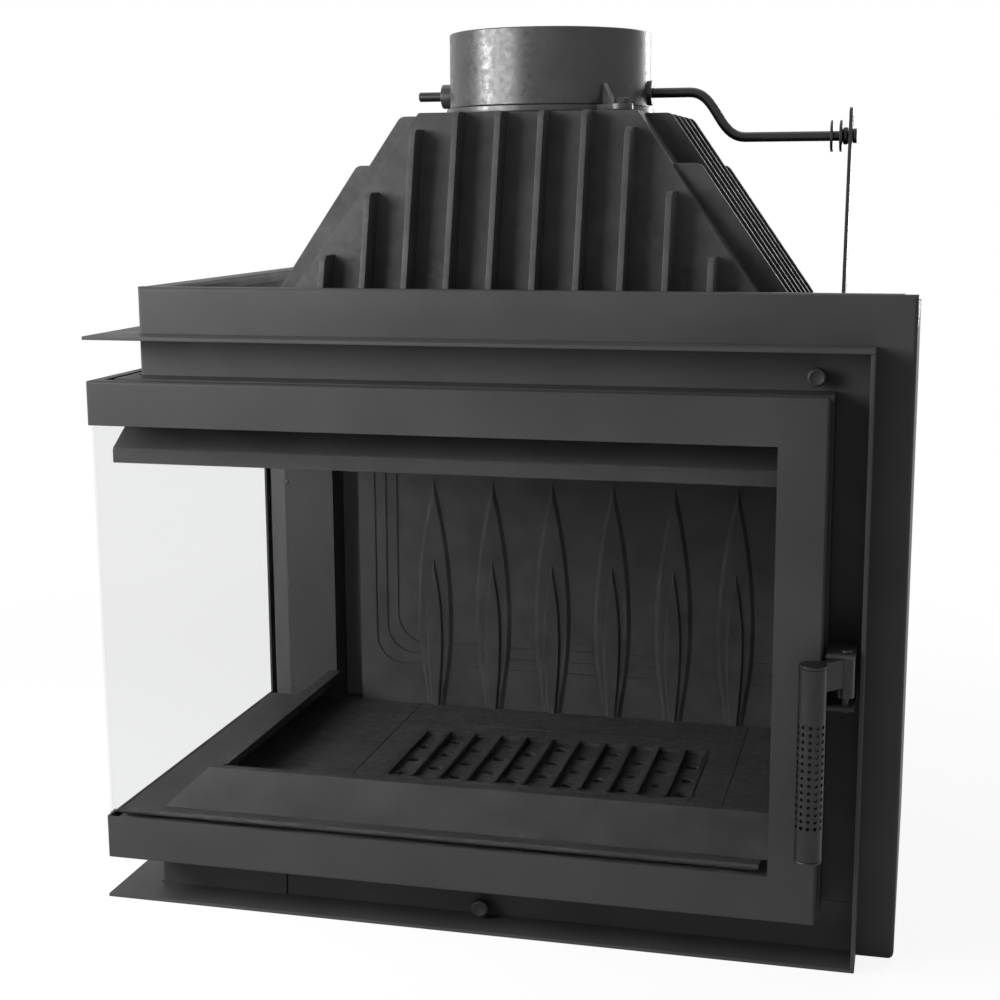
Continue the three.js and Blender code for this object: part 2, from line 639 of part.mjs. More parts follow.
/** Ash grate: ribs from front to back with staggered round holes between them. */
function grate() {
  const height = [HEARTH_UNDERSIDE, HEARTH_TOP];
  const slab = block(span(0, GRATE_HALF_WIDTH), span(0, GRATE_HALF_DEPTH), height);
  const rise = span(HEARTH_TOP, GRATE_RIB_RISE);
  const ribs = row(GRATE_RIBS, GRATE_PITCH).map((x) =>
    block(span(x, GRATE_RIB_WIDTH / 2), span(0, GRATE_HALF_DEPTH - GRATE_LEDGE), rise),
  );
  const holes = row(GRATE_RIBS + 1, GRATE_PITCH).flatMap((x, column) =>
    row(GRATE_HOLE_ROWS, GRATE_HOLE_PITCH).map((y) => {
      const stagger = column % 2 ? GRATE_STAGGER / 2 : -GRATE_STAGGER / 2;
      return rod("z", [x, y + stagger], GRATE_HOLE_RADIUS, [0, 2 * HEARTH_TOP], HOLE_SIDES);
    }),
  );
  return cut(join(slab, ...ribs), ...holes);
}

/** Ash pan: an open box under the grate. */
function ashPan() {
  const halfX = GRATE_HALF_WIDTH - GRATE_LEDGE - ASH_PAN_MARGIN;
  const halfY = GRATE_HALF_DEPTH - GRATE_LEDGE - ASH_PAN_MARGIN;
  const bottom = SHEET + SEAT;
  const wall = ASH_PAN_SHEET;
  return cut(
    block(span(0, halfX), span(0, halfY), [bottom, bottom + ASH_PAN_DEPTH]),
    block(span(0, halfX - wall), span(0, halfY - wall), [bottom + wall, bottom + ASH_PAN_DEPTH + SHEET]),
  );
}

/** A pointed leaf: from its foot round the belly to the tip, and down the other side. */
function leafOutline(x, foot, tip, halfWidth, footHalfWidth) {
  const belly = Math.min(LEAF_BELLY, (foot + tip) / 2);
  const low = LEAF_FOOT_PULL * (belly - foot);
  const rise = tip - belly;
  const edge = (sign) => ({
    foot: [x + sign * footHalfWidth, foot],
    footPull: [x + sign * footHalfWidth, foot + low],
    underBelly: [x + sign * halfWidth, belly - low],
    belly: [x + sign * halfWidth, belly],
    overBelly: [x + sign * halfWidth, belly + LEAF_BELLY_PULL * rise],
    tipPull: [x + sign * LEAF_TIP_HALF_WIDTH, tip - LEAF_TIP_PULL * rise],
  });
  const [left, right] = [edge(-1), edge(1)];
  const shape = new THREE.Shape();
  shape.moveTo(...right.foot);
  shape.bezierCurveTo(...right.footPull, ...right.underBelly, ...right.belly);
  shape.bezierCurveTo(...right.overBelly, ...right.tipPull, x, tip);
  shape.bezierCurveTo(...left.tipPull, ...left.overBelly, ...left.belly);
  shape.bezierCurveTo(...left.underBelly, ...left.footPull, ...left.foot);
  return shape;
}

/** One groove of the back plate: down its left side, round a bend and along to the right. */
function groove(index) {
  const x = GROOVE_LEFT + index * GROOVE_PITCH;
  const z = GROOVE_BOTTOM + index * GROOVE_PITCH;
  const bend = GROOVE_BEND;
  const inner = bend - GROOVE_WIDTH;
  const right = MOUTH_RIGHT + GROOVE_WIDTH;
  const path = [
    [x, BACK_TOP + GROOVE_WIDTH],
    [x, z, bend],
    [right, z],
    [right, z + GROOVE_WIDTH],
    [x + GROOVE_WIDTH, z + GROOVE_WIDTH, inner],
    [x + GROOVE_WIDTH, BACK_TOP + GROOVE_WIDTH],
  ];
  return prism("y", path, span(BACK_FACE, GROOVE_DEPTH));
}

/** Cast back plate with its raised leaves and grooves. */
function backPlate() {
  const right = LINING_RIGHT - LINING_THICKNESS - SEAT;
  const depth = [BACK_FACE, BACK_FACE + BACK_THICKNESS];
  const slab = block([BACK_LEFT, right], depth, [HEARTH_UNDERSIDE, BACK_TOP]);
  const grooves = Array.from({ length: GROOVE_COUNT }, (_, i) => groove(i));
  const leaves = row(LEAF_COUNT, LEAF_PITCH).flatMap((x) => {
    const foot = HEARTH_TOP + SEAT;
    const outer = leafOutline(x, foot, LEAF_TIP, LEAF_HALF_WIDTH, LEAF_FOOT_HALF_WIDTH);
    const inner = leafOutline(
      x,
      foot,
      INNER_LEAF_TIP,
      INNER_LEAF_HALF_WIDTH,
      INNER_LEAF_FOOT_HALF_WIDTH,
    );
    return [
      prism("y", outer, span(BACK_FACE, LEAF_RELIEF)),
      prism("y", inner, [BACK_FACE - 2 * LEAF_RELIEF, BACK_FACE], CURVE_STEPS - 1),
    ];
  });
  return join(cut(slab, ...grooves), ...leaves);
}

function rightLining() {
  const depth = [INNER_FRONT, BACK_FACE + BACK_THICKNESS];
  return block([MOUTH_RIGHT, LINING_RIGHT], depth, [HEARTH_TOP + SEAT, LINING_TOP]);
}

/** Log guard: a leaning front bar and a leaning side bar, mitred at the glazed corner. */
function logGuard() {
  const foot = HEARTH_TOP + SEAT;
  const top = foot + GUARD_HEIGHT;
  const section = (edge, lean, lip) => [
    [edge, foot],
    [edge + lean, top],
    [edge + lean + lip, top],
    [edge + lean + lip, top - GUARD_PLATE],
    [edge + 2 * GUARD_PLATE, foot],
  ];
  const rear = HEARTH_REAR - SEAT;
  const front = prism("x", section(GUARD_FRONT, GUARD_LEAN, GUARD_LIP), [GUARD_LEFT, GUARD_RIGHT]);
  const side = prism("y", section(GUARD_LEFT, GUARD_SIDE_LEAN, GUARD_SIDE_LIP), [GUARD_FRONT, rear]);
  const run = rear - GUARD_FRONT;
  const mitre = run * (GUARD_SIDE_LEAN / GUARD_LEAN);
  const corner = [GUARD_LEFT, GUARD_FRONT];
  const height = [foot - SHEET, top + SHEET];
  const diagonal = [GUARD_LEFT + mitre, rear];
  const frontZone = prism("z", [corner, [diagonal[0], GUARD_FRONT], diagonal], height);
  const sideZone = prism("z", [corner, diagonal, [GUARD_LEFT, rear]], height);
  const far = block([diagonal[0], GUARD_RIGHT + SHEET], [GUARD_FRONT, rear], height);
  return join(common(front, join(frontZone, far)), common(side, sideZone));
}

/** Sill between the log guard and the glass, with a round nose along its front edge. */
function sill() {
  const height = [HEARTH_TOP - SILL_SHEET, HEARTH_TOP];
  const back = INNER_FRONT - SEAT;
  const sideRight = HEARTH_LEFT - SEAT;
  const seatFoot = MOUTH_BOTTOM + SEAT;
  return join(
    block([SILL_LEFT, SILL_RIGHT], [SILL_FRONT, back], height),
    block([SILL_LEFT, sideRight], [SILL_FRONT, SILL_SIDE_REAR], height),
    block([-HALF, SILL_RIGHT], [CASING_FRONT, back], [seatFoot, HEARTH_TOP]),
    block([-HALF, -HALF + SHEET], [CASING_FRONT, SILL_SIDE_REAR], [seatFoot, HEARTH_TOP]),
    rod("x", [SILL_FRONT, HEARTH_TOP], SILL_NOSE_RADIUS, [SILL_LEFT, SILL_RIGHT], PIN_SIDES),
  );
}

/** Rear-left post: a sheet that faces forward, with a return to the rear. */
function rearLeftPost() {
  const height = [HEARTH_UNDERSIDE, CEILING_UNDERSIDE - SEAT];
  return join(
    block([-INNER, POST_RIGHT], [POST_FACE, POST_FACE + SHEET], height),
    block([POST_RIGHT - SHEET, POST_RIGHT], [POST_FACE, POST_FACE + POST_RETURN], height),
  );
}

/** Deflector: a hanging lip inside the door, a slope back under the mouth and a leg behind the plate. */
function deflector() {
  const lipTop = DEFLECTOR_BOTTOM + DEFLECTOR_LIP;
  const legFront = INNER_FRONT;
  const section = [
    [DEFLECTOR_FRONT, DEFLECTOR_BOTTOM],
    [DEFLECTOR_FRONT, lipTop, SHEET],
    [legFront, lipTop + DEFLECTOR_RISE],
    [legFront, DEFLECTOR_LEG_TOP],
    [legFront + SHEET, DEFLECTOR_LEG_TOP],
    [legFront + SHEET, lipTop + DEFLECTOR_RISE - SHEET],
    [DEFLECTOR_FRONT + SHEET, lipTop - SHEET],
    [DEFLECTOR_FRONT + SHEET, DEFLECTOR_BOTTOM],
  ];
  const sheet = prism("x", section, [DEFLECTOR_LEFT, DEFLECTOR_RIGHT]);
  return cut(sheet, block([-2 * HALF, -INNER], [INNER_FRONT, 0], [MOUTH_TOP - SHEET, CASING_HEIGHT]));
}

/** Height of the baffle's underside at a depth y. */
function baffleUnderside(y) {
  const rear = BACK_FACE + BACK_THICKNESS;
  const share = (rear - y) / (rear - BAFFLE_FRONT);
  return THREE.MathUtils.lerp(BAFFLE_REAR_UNDERSIDE, BAFFLE_FRONT_UNDERSIDE, share);
}

function baffle() {
  const rear = BACK_FACE + BACK_THICKNESS;
  const low = BAFFLE_REAR_UNDERSIDE;
  const high = BAFFLE_FRONT_UNDERSIDE;
  const thick = BAFFLE_THICKNESS;
  const section = [[BAFFLE_FRONT, high], [rear, low], [rear, low + thick], [BAFFLE_FRONT, high + thick]];
  return prism("x", section, [POST_RIGHT + BAFFLE_SIDE_GAP, LINING_RIGHT - SEAT]);
}

function baffleBar() {
  const y = BAFFLE_FRONT + 4 * BAFFLE_BAR_RADIUS;
  const z = baffleUnderside(y) - BAFFLE_BAR_RADIUS - 2 * SEAT;
  return rod("x", [y, z], BAFFLE_BAR_RADIUS, [-INNER, LINING_RIGHT], PIN_SIDES);
}

/** Air duct under the hearth: a tray whose front mouth the shutter covers. */
function airDuct() {
  const front = AIR_SHUTTER_Y + AIR_SHUTTER_THICKNESS + SEAT;
  const rear = -(GRATE_HALF_DEPTH - GRATE_LEDGE - ASH_PAN_MARGIN) - SEAT;
  const half = AIR_SHUTTER_WIDTH / 2 - AIR_SHUTTER_LAP;
  const bottom = SHEET + SEAT;
  const top = AIR_Z + AIR_SHUTTER_HEIGHT / 2 + AIR_SHUTTER_LAP;
  const wall = AIR_DUCT_SHEET;
  const [left, right] = span(AIR_X, half);
  return cut(
    block([left, right], [front, rear], [bottom, top]),
    block([left + wall, right - wall], [front - wall, rear + wall], [bottom + wall, top - wall]),
  );
}

function makeHearth() {
  place("hearth_sheet", hearthSheet(), PAINTED);
  place("hearth_side_wall", hearthSideWall(), PAINTED);
  makeFloor();
  place("ash_grate", grate(), HEARTH_IRON);
  place("ash_pan", ashPan(), STEEL);
  place("back_plate", backPlate(), HEARTH_IRON);
  place("right_lining", rightLining(), HEARTH_IRON);
  place("log_guard", logGuard(), HEARTH_IRON);
  place("sill_plate", sill(), PAINTED);
  place("rear_left_post", rearLeftPost(), PAINTED);
  place("smoke_deflector", deflector(), PAINTED);
  place("baffle", baffle(), HEARTH_IRON);
  place("baffle_bar", baffleBar(), STEEL);
  place("air_duct", airDuct(), STEEL);
}

// ---- Hood and flue collar ---------------------------------------------------------------------------

const hoodHalfX = (z) => HOOD_TOP_HALF + HOOD_SPREAD_X * (HOOD_TOP - Math.max(z, HOOD_SLOPE_FOOT));
const hoodHalfY = (z) => HOOD_TOP_HALF + HOOD_SPREAD_Y * (HOOD_TOP - Math.max(z, HOOD_SLOPE_FOOT));

/** The hood's outer form, drawn in by a wall and with its top lowered by it. */
function hoodForm(wall, bottom) {
  const top = HOOD_TOP - wall;
  const section = (half) => [
    [-half(HOOD_BOTTOM) + wall, bottom],
    [half(HOOD_BOTTOM) - wall, bottom],
    [half(HOOD_BOTTOM) - wall, HOOD_SLOPE_FOOT],
    [half(top) - wall, top],
    [-half(top) + wall, top],
    [-half(HOOD_BOTTOM) + wall, HOOD_SLOPE_FOOT],
  ];
  const wide = 2 * hoodHalfX(HOOD_BOTTOM);
  return common(prism("y", section(hoodHalfX), [-wide, wide]), prism("x", section(hoodHalfY), [-wide, wide]));
}

/** Outline of a rib that stands out from a sloping face by depth, up to a top height. */
function ribSection(half, depth, top, sign) {
  const root = HOOD_WALL / 2;
  return [
    [sign * (half(HOOD_BOTTOM) - root), HOOD_BOTTOM],
    [sign * (half(HOOD_BOTTOM) + depth), HOOD_BOTTOM],
    [sign * (half(HOOD_BOTTOM) + depth), HOOD_SLOPE_FOOT],
    [sign * (half(top) + depth), top, RIB_CORNER_RADIUS],
    [sign * (half(top) - root), top],
    [sign * (half(HOOD_BOTTOM) - root), HOOD_SLOPE_FOOT],
  ];
}

/** Hood: a hollow cast pyramid with ribs on its four faces and a hole for the flue. */
function hood() {
  const shell = cut(
    hoodForm(0, HOOD_BOTTOM),
    hoodForm(HOOD_WALL, HOOD_BOTTOM - HOOD_WALL),
    rod("z", [0, 0], COLLAR_RADIUS - COLLAR_WALL, [HOOD_SLOPE_FOOT, COLLAR_TOP], FLUE_SIDES),
  );
  const ribs = [];
  for (const sign of [-1, 1]) {
    for (const x of row(FRONT_RIB_COUNT, FRONT_RIB_PITCH)) {
      const reach = Math.abs(x) + FRONT_RIB_SHOULDER - HOOD_TOP_HALF;
      const top = HOOD_TOP - Math.max(0, reach / HOOD_SPREAD_X);
      const section = ribSection(hoodHalfY, FRONT_RIB_DEPTH, top, sign);
      ribs.push(prism("x", section, span(x, HOOD_RIB_THICKNESS / 2)));
    }
    for (const y of row(SIDE_RIB_COUNT, SIDE_RIB_PITCH)) {
      const reach = Math.abs(y) + SIDE_RIB_SHOULDER - HOOD_TOP_HALF;
      const drop = reach > 0 ? SIDE_RIB_STEP + reach / HOOD_SPREAD_Y : SIDE_RIB_DROP;
      const section = ribSection(hoodHalfX, SIDE_RIB_DEPTH, HOOD_TOP - drop, sign);
      ribs.push(prism("y", section, span(y, HOOD_RIB_THICKNESS / 2)));
    }
  }
  return join(shell, ...ribs);
}

/** One lug of the collar ring at an angle: a tongue with a bolt hole and a web above it. */
function collarLug(angle, bottom, top) {
  const tongue = join(
    block([COLLAR_RADIUS - COLLAR_WALL / 2, LUG_RADIUS], span(0, LUG_HALF_WIDTH), [bottom, top]),
    rod("z", [LUG_RADIUS, 0], LUG_HALF_WIDTH, [bottom, top]),
  );
  const hole = rod("z", [LUG_RADIUS, 0], COLLAR_BOLT_RADIUS + SEAT, [bottom - SHEET, top + SHEET]);
  return cut(tongue, hole).rotate([0, 0, angle]);
}

const lugAngles = [LUG_ANGLE, LUG_ANGLE + 180];

function collarRing() {
  const bottom = HOOD_TOP + SEAT;
  const top = COLLAR_SEAM - SEAT;
  const bore = rod("z", [0, 0], COLLAR_RADIUS - COLLAR_WALL, [bottom - SHEET, top + SHEET], FLUE_SIDES);
  const ring = rod("z", [0, 0], COLLAR_RADIUS + COLLAR_RING_STEP, [bottom, top], FLUE_SIDES);
  return cut(join(ring, ...lugAngles.map((angle) => collarLug(angle, bottom, top))), bore);
}

/** Collar with its two shaft bosses and the webs that stand on the ring's lugs. */
function flueCollar() {
  const inner = COLLAR_RADIUS - COLLAR_WALL;
  const root = COLLAR_RADIUS - COLLAR_WALL / 2;
  const axis = [0, DAMPER_HEIGHT];
  const webReach = LUG_RADIUS - LUG_HALF_WIDTH;
  const web = [
    [root, COLLAR_SEAM],
    [webReach, COLLAR_SEAM],
    [root + SHEET, COLLAR_SEAM + LUG_WEB_HEIGHT],
    [root, COLLAR_SEAM + LUG_WEB_HEIGHT],
  ];
  const outer = join(
    rod("z", [0, 0], COLLAR_RADIUS, [COLLAR_SEAM, COLLAR_TOP], FLUE_SIDES),
    rod("x", axis, BOSS_RADIUS, [inner, COLLAR_RADIUS + BOSS_REACH_RIGHT]),
    rod("x", axis, BOSS_RADIUS, [-COLLAR_RADIUS - BOSS_REACH_LEFT, -inner]),
    ...lugAngles.map((angle) => prism("y", web, span(0, LUG_WEB / 2)).rotate([0, 0, angle])),
  );
  const bore = rod("z", [0, 0], inner, [COLLAR_SEAM - SHEET, COLLAR_TOP + SHEET], FLUE_SIDES);
  const reach = COLLAR_RADIUS + BOSS_REACH_LEFT + SHEET;
  return cut(outer, bore, rod("x", axis, SHAFT_RADIUS + RUNNING, [-reach, reach]));
}

/** Bolt through a collar lug into the hood's top. */
function collarBolt(angle) {
  const turn = THREE.MathUtils.degToRad(angle);
  const at = [LUG_RADIUS * Math.cos(turn), LUG_RADIUS * Math.sin(turn)];
  const top = COLLAR_SEAM + COLLAR_BOLT_HEAD_HEIGHT;
  return join(
    rod("z", at, COLLAR_BOLT_RADIUS, [HOOD_TOP + SEAT, top], PIN_SIDES),
    rod("z", at, COLLAR_BOLT_HEAD, [COLLAR_SEAM, top], HEXAGON),
  );
}

function makeHood() {
  place("hood", hood(), CAST_IRON);
  place("collar_ring", collarRing(), CAST_IRON);
  place("flue_collar", flueCollar(), CAST_IRON);
  place("collar_bolt_front", collarBolt(LUG_ANGLE), FASTENER);
  place("collar_bolt_rear", collarBolt(LUG_ANGLE + 180), FASTENER);
}

// ---- Door -------------------------------------------------------------------------------------------

/** An L-shaped plan band: across the front to a right end and back along the left side. */
function doorBand([front, frontBack], [left, leftInner], right, rear, height) {
  return join(
    block([left, right], [front, frontBack], height),
    block([left, leftInner], [front, rear], height),
  );
}

/** Cover: a folded sheet round the view of the glass, with rounded edges. */
function doorCover() {
  const t = COVER_SHEET;
  const height = [DOOR_BOTTOM, DOOR_TOP];
  const front = [DOOR_FRONT, DOOR_FRONT + t];
  const side = [DOOR_LEFT, DOOR_LEFT + t];
  const frontFold = [DOOR_FRONT, DOOR_FRONT + COVER_DEPTH];
  const sideFold = [DOOR_LEFT, DOOR_LEFT + COVER_DEPTH];
  const view = join(
    block([DOOR_LEFT - t, VIEW_RIGHT], [DOOR_FRONT - t, DOOR_FRONT + 2 * t], [VIEW_BOTTOM, VIEW_TOP]),
    block([DOOR_LEFT - t, DOOR_LEFT + 2 * t], [DOOR_FRONT - t, VIEW_REAR], [VIEW_BOTTOM, VIEW_TOP]),
  );
  const sheet = join(
    doorBand(front, side, DOOR_RIGHT, DOOR_REAR, height),
    doorBand(frontFold, sideFold, DOOR_RIGHT, DOOR_REAR, [DOOR_BOTTOM, DOOR_BOTTOM + t]),
    doorBand(frontFold, sideFold, DOOR_RIGHT, DOOR_REAR, [DOOR_TOP - t, DOOR_TOP]),
    block([DOOR_RIGHT - t, DOOR_RIGHT], frontFold, height),
    block(sideFold, [DOOR_REAR - t, DOOR_REAR], height),
  );
  return common(cut(sheet, view, hingeBore()), roundedCover());
}

/** The cover's outer form with its bends rounded, as three outlines drawn across one another. */
function roundedCover() {
  const r = COVER_RADIUS;
  const along = [
    [DOOR_FRONT, DOOR_BOTTOM, r],
    [DOOR_REAR, DOOR_BOTTOM, r],
    [DOOR_REAR, DOOR_TOP, r],
    [DOOR_FRONT, DOOR_TOP, r],
  ];
  const face = [
    [DOOR_LEFT, DOOR_BOTTOM, r],
    [DOOR_RIGHT, DOOR_BOTTOM, r],
    [DOOR_RIGHT, DOOR_TOP, r],
    [DOOR_LEFT, DOOR_TOP, r],
  ];
  const plan = [
    [DOOR_LEFT, DOOR_FRONT, r],
    [DOOR_RIGHT, DOOR_FRONT, r],
    [DOOR_RIGHT, DOOR_REAR],
    [DOOR_LEFT, DOOR_REAR, r],
  ];
  return common(
    prism("x", along, [DOOR_LEFT, DOOR_RIGHT]),
    prism("y", face, [DOOR_FRONT, DOOR_REAR]),
    prism("z", plan, [DOOR_BOTTOM, DOOR_TOP]),
  );
}

/** Bore for the hinge pins, through the whole height of the door's rear edge. */
function hingeBore() {
  const radius = HINGE_PIN_RADIUS + HINGE_RUNNING;
  return rod("z", [HINGE_X, HINGE_Y], radius, [0, CASING_HEIGHT], PIN_SIDES);
}

const frameRight = () => DOOR_RIGHT + FRAME_EDGE;
const ropeHeights = () => [DOOR_BOTTOM + ROPE_INSET, DOOR_TOP - ROPE_INSET];
const ropeRight = () => frameRight() - STILE_WIDTH / 2;
const ropeRear = () => DOOR_REAR - REAR_STILE_INSET - COVER_DEPTH / 2;
const ropeFront = () => CASING_FRONT - SEAT - ROPE_RADIUS;
const ropeSide = () => -HALF - SEAT - ROPE_RADIUS;

/** The rope's channel, cut into the back of the frame. */
function ropeChannel() {
  const half = ROPE_RADIUS + SEAT;
  const heights = [ropeHeights()[0] - half, ropeHeights()[1] + half];
  const front = [ropeFront() - half, FRAME_BACK + SHEET];
  const side = [ropeSide() - half, FRAME_INNER_X + SHEET];
  const bars = ropeHeights().map((z) =>
    doorBand(front, side, ropeRight() + half, ropeRear() + half, span(z, half)),
  );
  return join(
    ...bars,
    block(span(ropeRight(), half), front, heights),
    block(side, span(ropeRear(), half), heights),
  );
}

/** Frame: the welded body of the door behind the glass, with a recessed groove behind the cover. */
function doorFrame() {
  const coreFront = GLASS_BACK + SEAT;
  const coreLeft = GLASS_INNER_X + SEAT;
  const rear = DOOR_REAR - REAR_STILE_INSET;
  const inset = FRAME_SETBACK;
  const core = doorBand(
    [coreFront, FRAME_BACK],
    [coreLeft, FRAME_INNER_X],
    DOOR_RIGHT - inset,
    rear,
    [DOOR_BOTTOM + inset, DOOR_TOP - inset],
  );
  const body = doorBand(
    [FRAME_BACK - FRAME_FRONT_DEPTH, FRAME_BACK],
    [FRAME_INNER_X - FRAME_SIDE_DEPTH, FRAME_INNER_X],
    frameRight(),
    rear,
    [DOOR_BOTTOM, DOOR_TOP],
  );
  const opening = [VIEW_BOTTOM - FRAME_BAR_LAP, VIEW_TOP + FRAME_BAR_LAP];
  const hole = join(
    block([DOOR_LEFT, frameRight() - STILE_WIDTH], [DOOR_FRONT, FRAME_BACK + SHEET], opening),
    block([DOOR_LEFT, FRAME_INNER_X + SHEET], [DOOR_FRONT, VIEW_REAR + FRAME_BAR_LAP], opening),
  );
  return cut(join(core, body), hole, ropeChannel(), hingeBore());
}

function frontGlass() {
  const height = [VIEW_BOTTOM - GLASS_LAP, VIEW_TOP + GLASS_LAP];
  return block([GLASS_LEFT, VIEW_RIGHT + GLASS_STILE_LAP], [GLASS_FRONT, GLASS_BACK], height);
}

function sideGlass() {
  const height = [VIEW_BOTTOM - GLASS_LAP, VIEW_TOP + GLASS_LAP];
  return block([GLASS_LEFT, GLASS_INNER_X], [GLASS_BACK + SEAT, VIEW_REAR + GLASS_LAP], height);
}

/** Sealing rope: one loop in the channel, round the front opening and the side opening. */
function ropeSeal() {
  const [low, high] = ropeHeights();
  const radius = ROPE_RADIUS;
  const corners = [];
  const runs = [];
  for (const z of [low, high]) {
    runs.push(rod("x", [ropeFront(), z], radius, [ropeSide(), ropeRight()], HOLE_SIDES));
    runs.push(rod("y", [ropeSide(), z], radius, [ropeFront(), ropeRear()], HOLE_SIDES));
    corners.push([ropeSide(), ropeFront(), z], [ropeRight(), ropeFront(), z], [ropeSide(), ropeRear(), z]);
  }
  runs.push(rod("z", [ropeRight(), ropeFront()], radius, [low, high], HOLE_SIDES));
  runs.push(rod("z", [ropeSide(), ropeRear()], radius, [low, high], HOLE_SIDES));
  const ball = ([x, y, z]) => new THREE.SphereGeometry(radius, HOLE_SIDES, HEXAGON).translate(x, y, z);
  return join(...runs, ...corners.map((corner) => solid(ball(corner))));
}

function makeDoor() {
  place("door_frame", doorFrame(), DOOR_PAINT);
  place("door_cover", doorCover(), DOOR_PAINT);
  place("front_glass", frontGlass(), GLASS);
  place("side_glass", sideGlass(), GLASS);
  place("rope_seal", ropeSeal(), ROPE);
}

// ---- Door hinge -------------------------------------------------------------------------------------

/** Hinge bracket on the casing's left wall, above or below the door, with a hole for its pin. */
function hingeBracket(bottom) {
  const depth = span(HINGE_Y, HINGE_PLATE_WIDTH / 2);
  const left = HINGE_X - HINGE_PLATE_WIDTH / 3;
  const plate = block([left, -HALF - SEAT], depth, [bottom, bottom + HINGE_PLATE]);
  const upper = bottom > CASING_HEIGHT / 2;
  const rise = upper ? [bottom, bottom + HINGE_PLATE_WIDTH] : [bottom - HINGE_PLATE_WIDTH / 2, bottom];
  const wing = block([-HALF - SEAT - HINGE_PLATE, -HALF - SEAT], depth, rise);
  const through = [bottom - SHEET, bottom + 2 * HINGE_PLATE];
  const hole = rod("z", [HINGE_X, HINGE_Y], HINGE_PIN_RADIUS + SEAT, through, PIN_SIDES);
  return cut(join(plate, wing), hole);
}

const upperBracketZ = () => DOOR_TOP + HINGE_RUNNING;
const lowerBracketZ = () => DOOR_BOTTOM - HINGE_RUNNING - HINGE_PLATE;

/** Hinge pin with a head that rests outside the bracket. */
function hingePin(upper) {
  const at = [HINGE_X, HINGE_Y];
  const seat = upper ? upperBracketZ() + HINGE_PLATE + SEAT : lowerBracketZ() - SEAT;
  const length = upper ? [seat - HINGE_PIN_LENGTH, seat] : [seat, seat + HINGE_PIN_LENGTH];
  const cap = upper ? [seat, seat + HINGE_PLATE] : [seat - HINGE_PLATE, seat];
  return join(
    rod("z", at, HINGE_PIN_RADIUS, length, PIN_SIDES),
    rod("z", at, HINGE_PIN_HEAD, cap, PIN_SIDES),
  );
}

function makeHinge() {
  place("hinge_bracket_upper", hingeBracket(upperBracketZ()), PAINTED);
  place("hinge_bracket_lower", hingeBracket(lowerBracketZ()), PAINTED);
  place("hinge_pin_upper", hingePin(true), FASTENER);
  place("hinge_pin_lower", hingePin(false), FASTENER);
}

// ---- Latch handle -----------------------------------------------------------------------------------

const latchTop = () => HANDLE_TOP + HANDLE_CAP;

/** Bracket on the door's right edge, with an ear above and below the latch arm. */
function handleBracket() {
  const wallLeft = frameRight() + SEAT;
  const wall = [wallLeft, wallLeft + BRACKET_SHEET];
  const upperEar = latchTop() + SEAT;
  const right = LATCH_X + LATCH_BOSS_RADIUS;
  const ear = (bottom) =>
    block([wallLeft, right], [BRACKET_FRONT, BRACKET_REAR], [bottom, bottom + BRACKET_EAR]);
  const height = [BRACKET_BOTTOM, upperEar + BRACKET_EAR];
  const spine = block(wall, [FRAME_BACK - FRAME_FRONT_DEPTH, BRACKET_REAR], height);
  const hole = rod("z", [LATCH_X, LATCH_Y], LATCH_PIN_RADIUS + SEAT, [0, CASING_HEIGHT], PIN_SIDES);
  return cut(join(spine, ear(BRACKET_BOTTOM), ear(upperEar)), hole);
}

function latchPin() {
  const at = [LATCH_X, LATCH_Y];
  const top = latchTop() + 2 * SEAT + BRACKET_EAR;
  return join(
    rod("z", at, LATCH_PIN_RADIUS, [BRACKET_BOTTOM - SHEET, top], PIN_SIDES),
    rod("z", at, LATCH_PIN_HEAD, [top, top + SHEET], PIN_SIDES),
  );
}

/** Tongue of the latch: a flat bar from the pin back through the front plate. */
function latchTongue() {
  const rear = PLATE_BACK + TONGUE_PAST_PLATE;
  const [left, right] = span(LATCH_X, LATCH_ARM_THICKNESS / 2);
  const nose = LATCH_ARM_THICKNESS / 3;
  const plan = [[left, LATCH_Y], [right, LATCH_Y], [right, rear, nose], [left, rear, nose]];
  return prism("z", plan, [TONGUE_BOTTOM, TONGUE_TOP]);
}

/** Latch arm: a cap and plug in the handle, a bar to the pin's boss, and the tongue behind it. */
function latchArm() {
  const turn = Math.atan2(LATCH_Y - HANDLE_Y, LATCH_X - HANDLE_X);
  const reach = Math.hypot(LATCH_Y - HANDLE_Y, LATCH_X - HANDLE_X);
  const height = [LATCH_ARM_BOTTOM, latchTop()];
  const bar = block([HANDLE_RADIUS + SEAT, reach], span(0, LATCH_ARM_THICKNESS / 2), height);
  const bridge = block([0, reach], span(0, LATCH_ARM_THICKNESS / 2), [HANDLE_TOP + SEAT, latchTop()]);
  const angle = THREE.MathUtils.radToDeg(turn);
  const arm = join(bar, bridge).rotate([0, 0, angle]).translate([HANDLE_X, HANDLE_Y, 0]);
  const plugRadius = HANDLE_RADIUS - HANDLE_WALL - SEAT;
  const cap = rod("z", [HANDLE_X, HANDLE_Y], HANDLE_RADIUS, [HANDLE_TOP + SEAT, latchTop()], TUBE_SIDES);
  const plug = rod("z", [HANDLE_X, HANDLE_Y], plugRadius, height);
  const boss = rod("z", [LATCH_X, LATCH_Y], LATCH_BOSS_RADIUS, height);
  const lowBoss = rod("z", [LATCH_X, LATCH_Y], LATCH_BOSS_RADIUS, [TONGUE_BOTTOM, TONGUE_TOP]);
  const hole = rod("z", [LATCH_X, LATCH_Y], LATCH_PIN_RADIUS + RUNNING, [0, CASING_HEIGHT], PIN_SIDES);
  return cut(join(arm, cap, plug, boss, lowBoss, latchTongue()), hole);
}

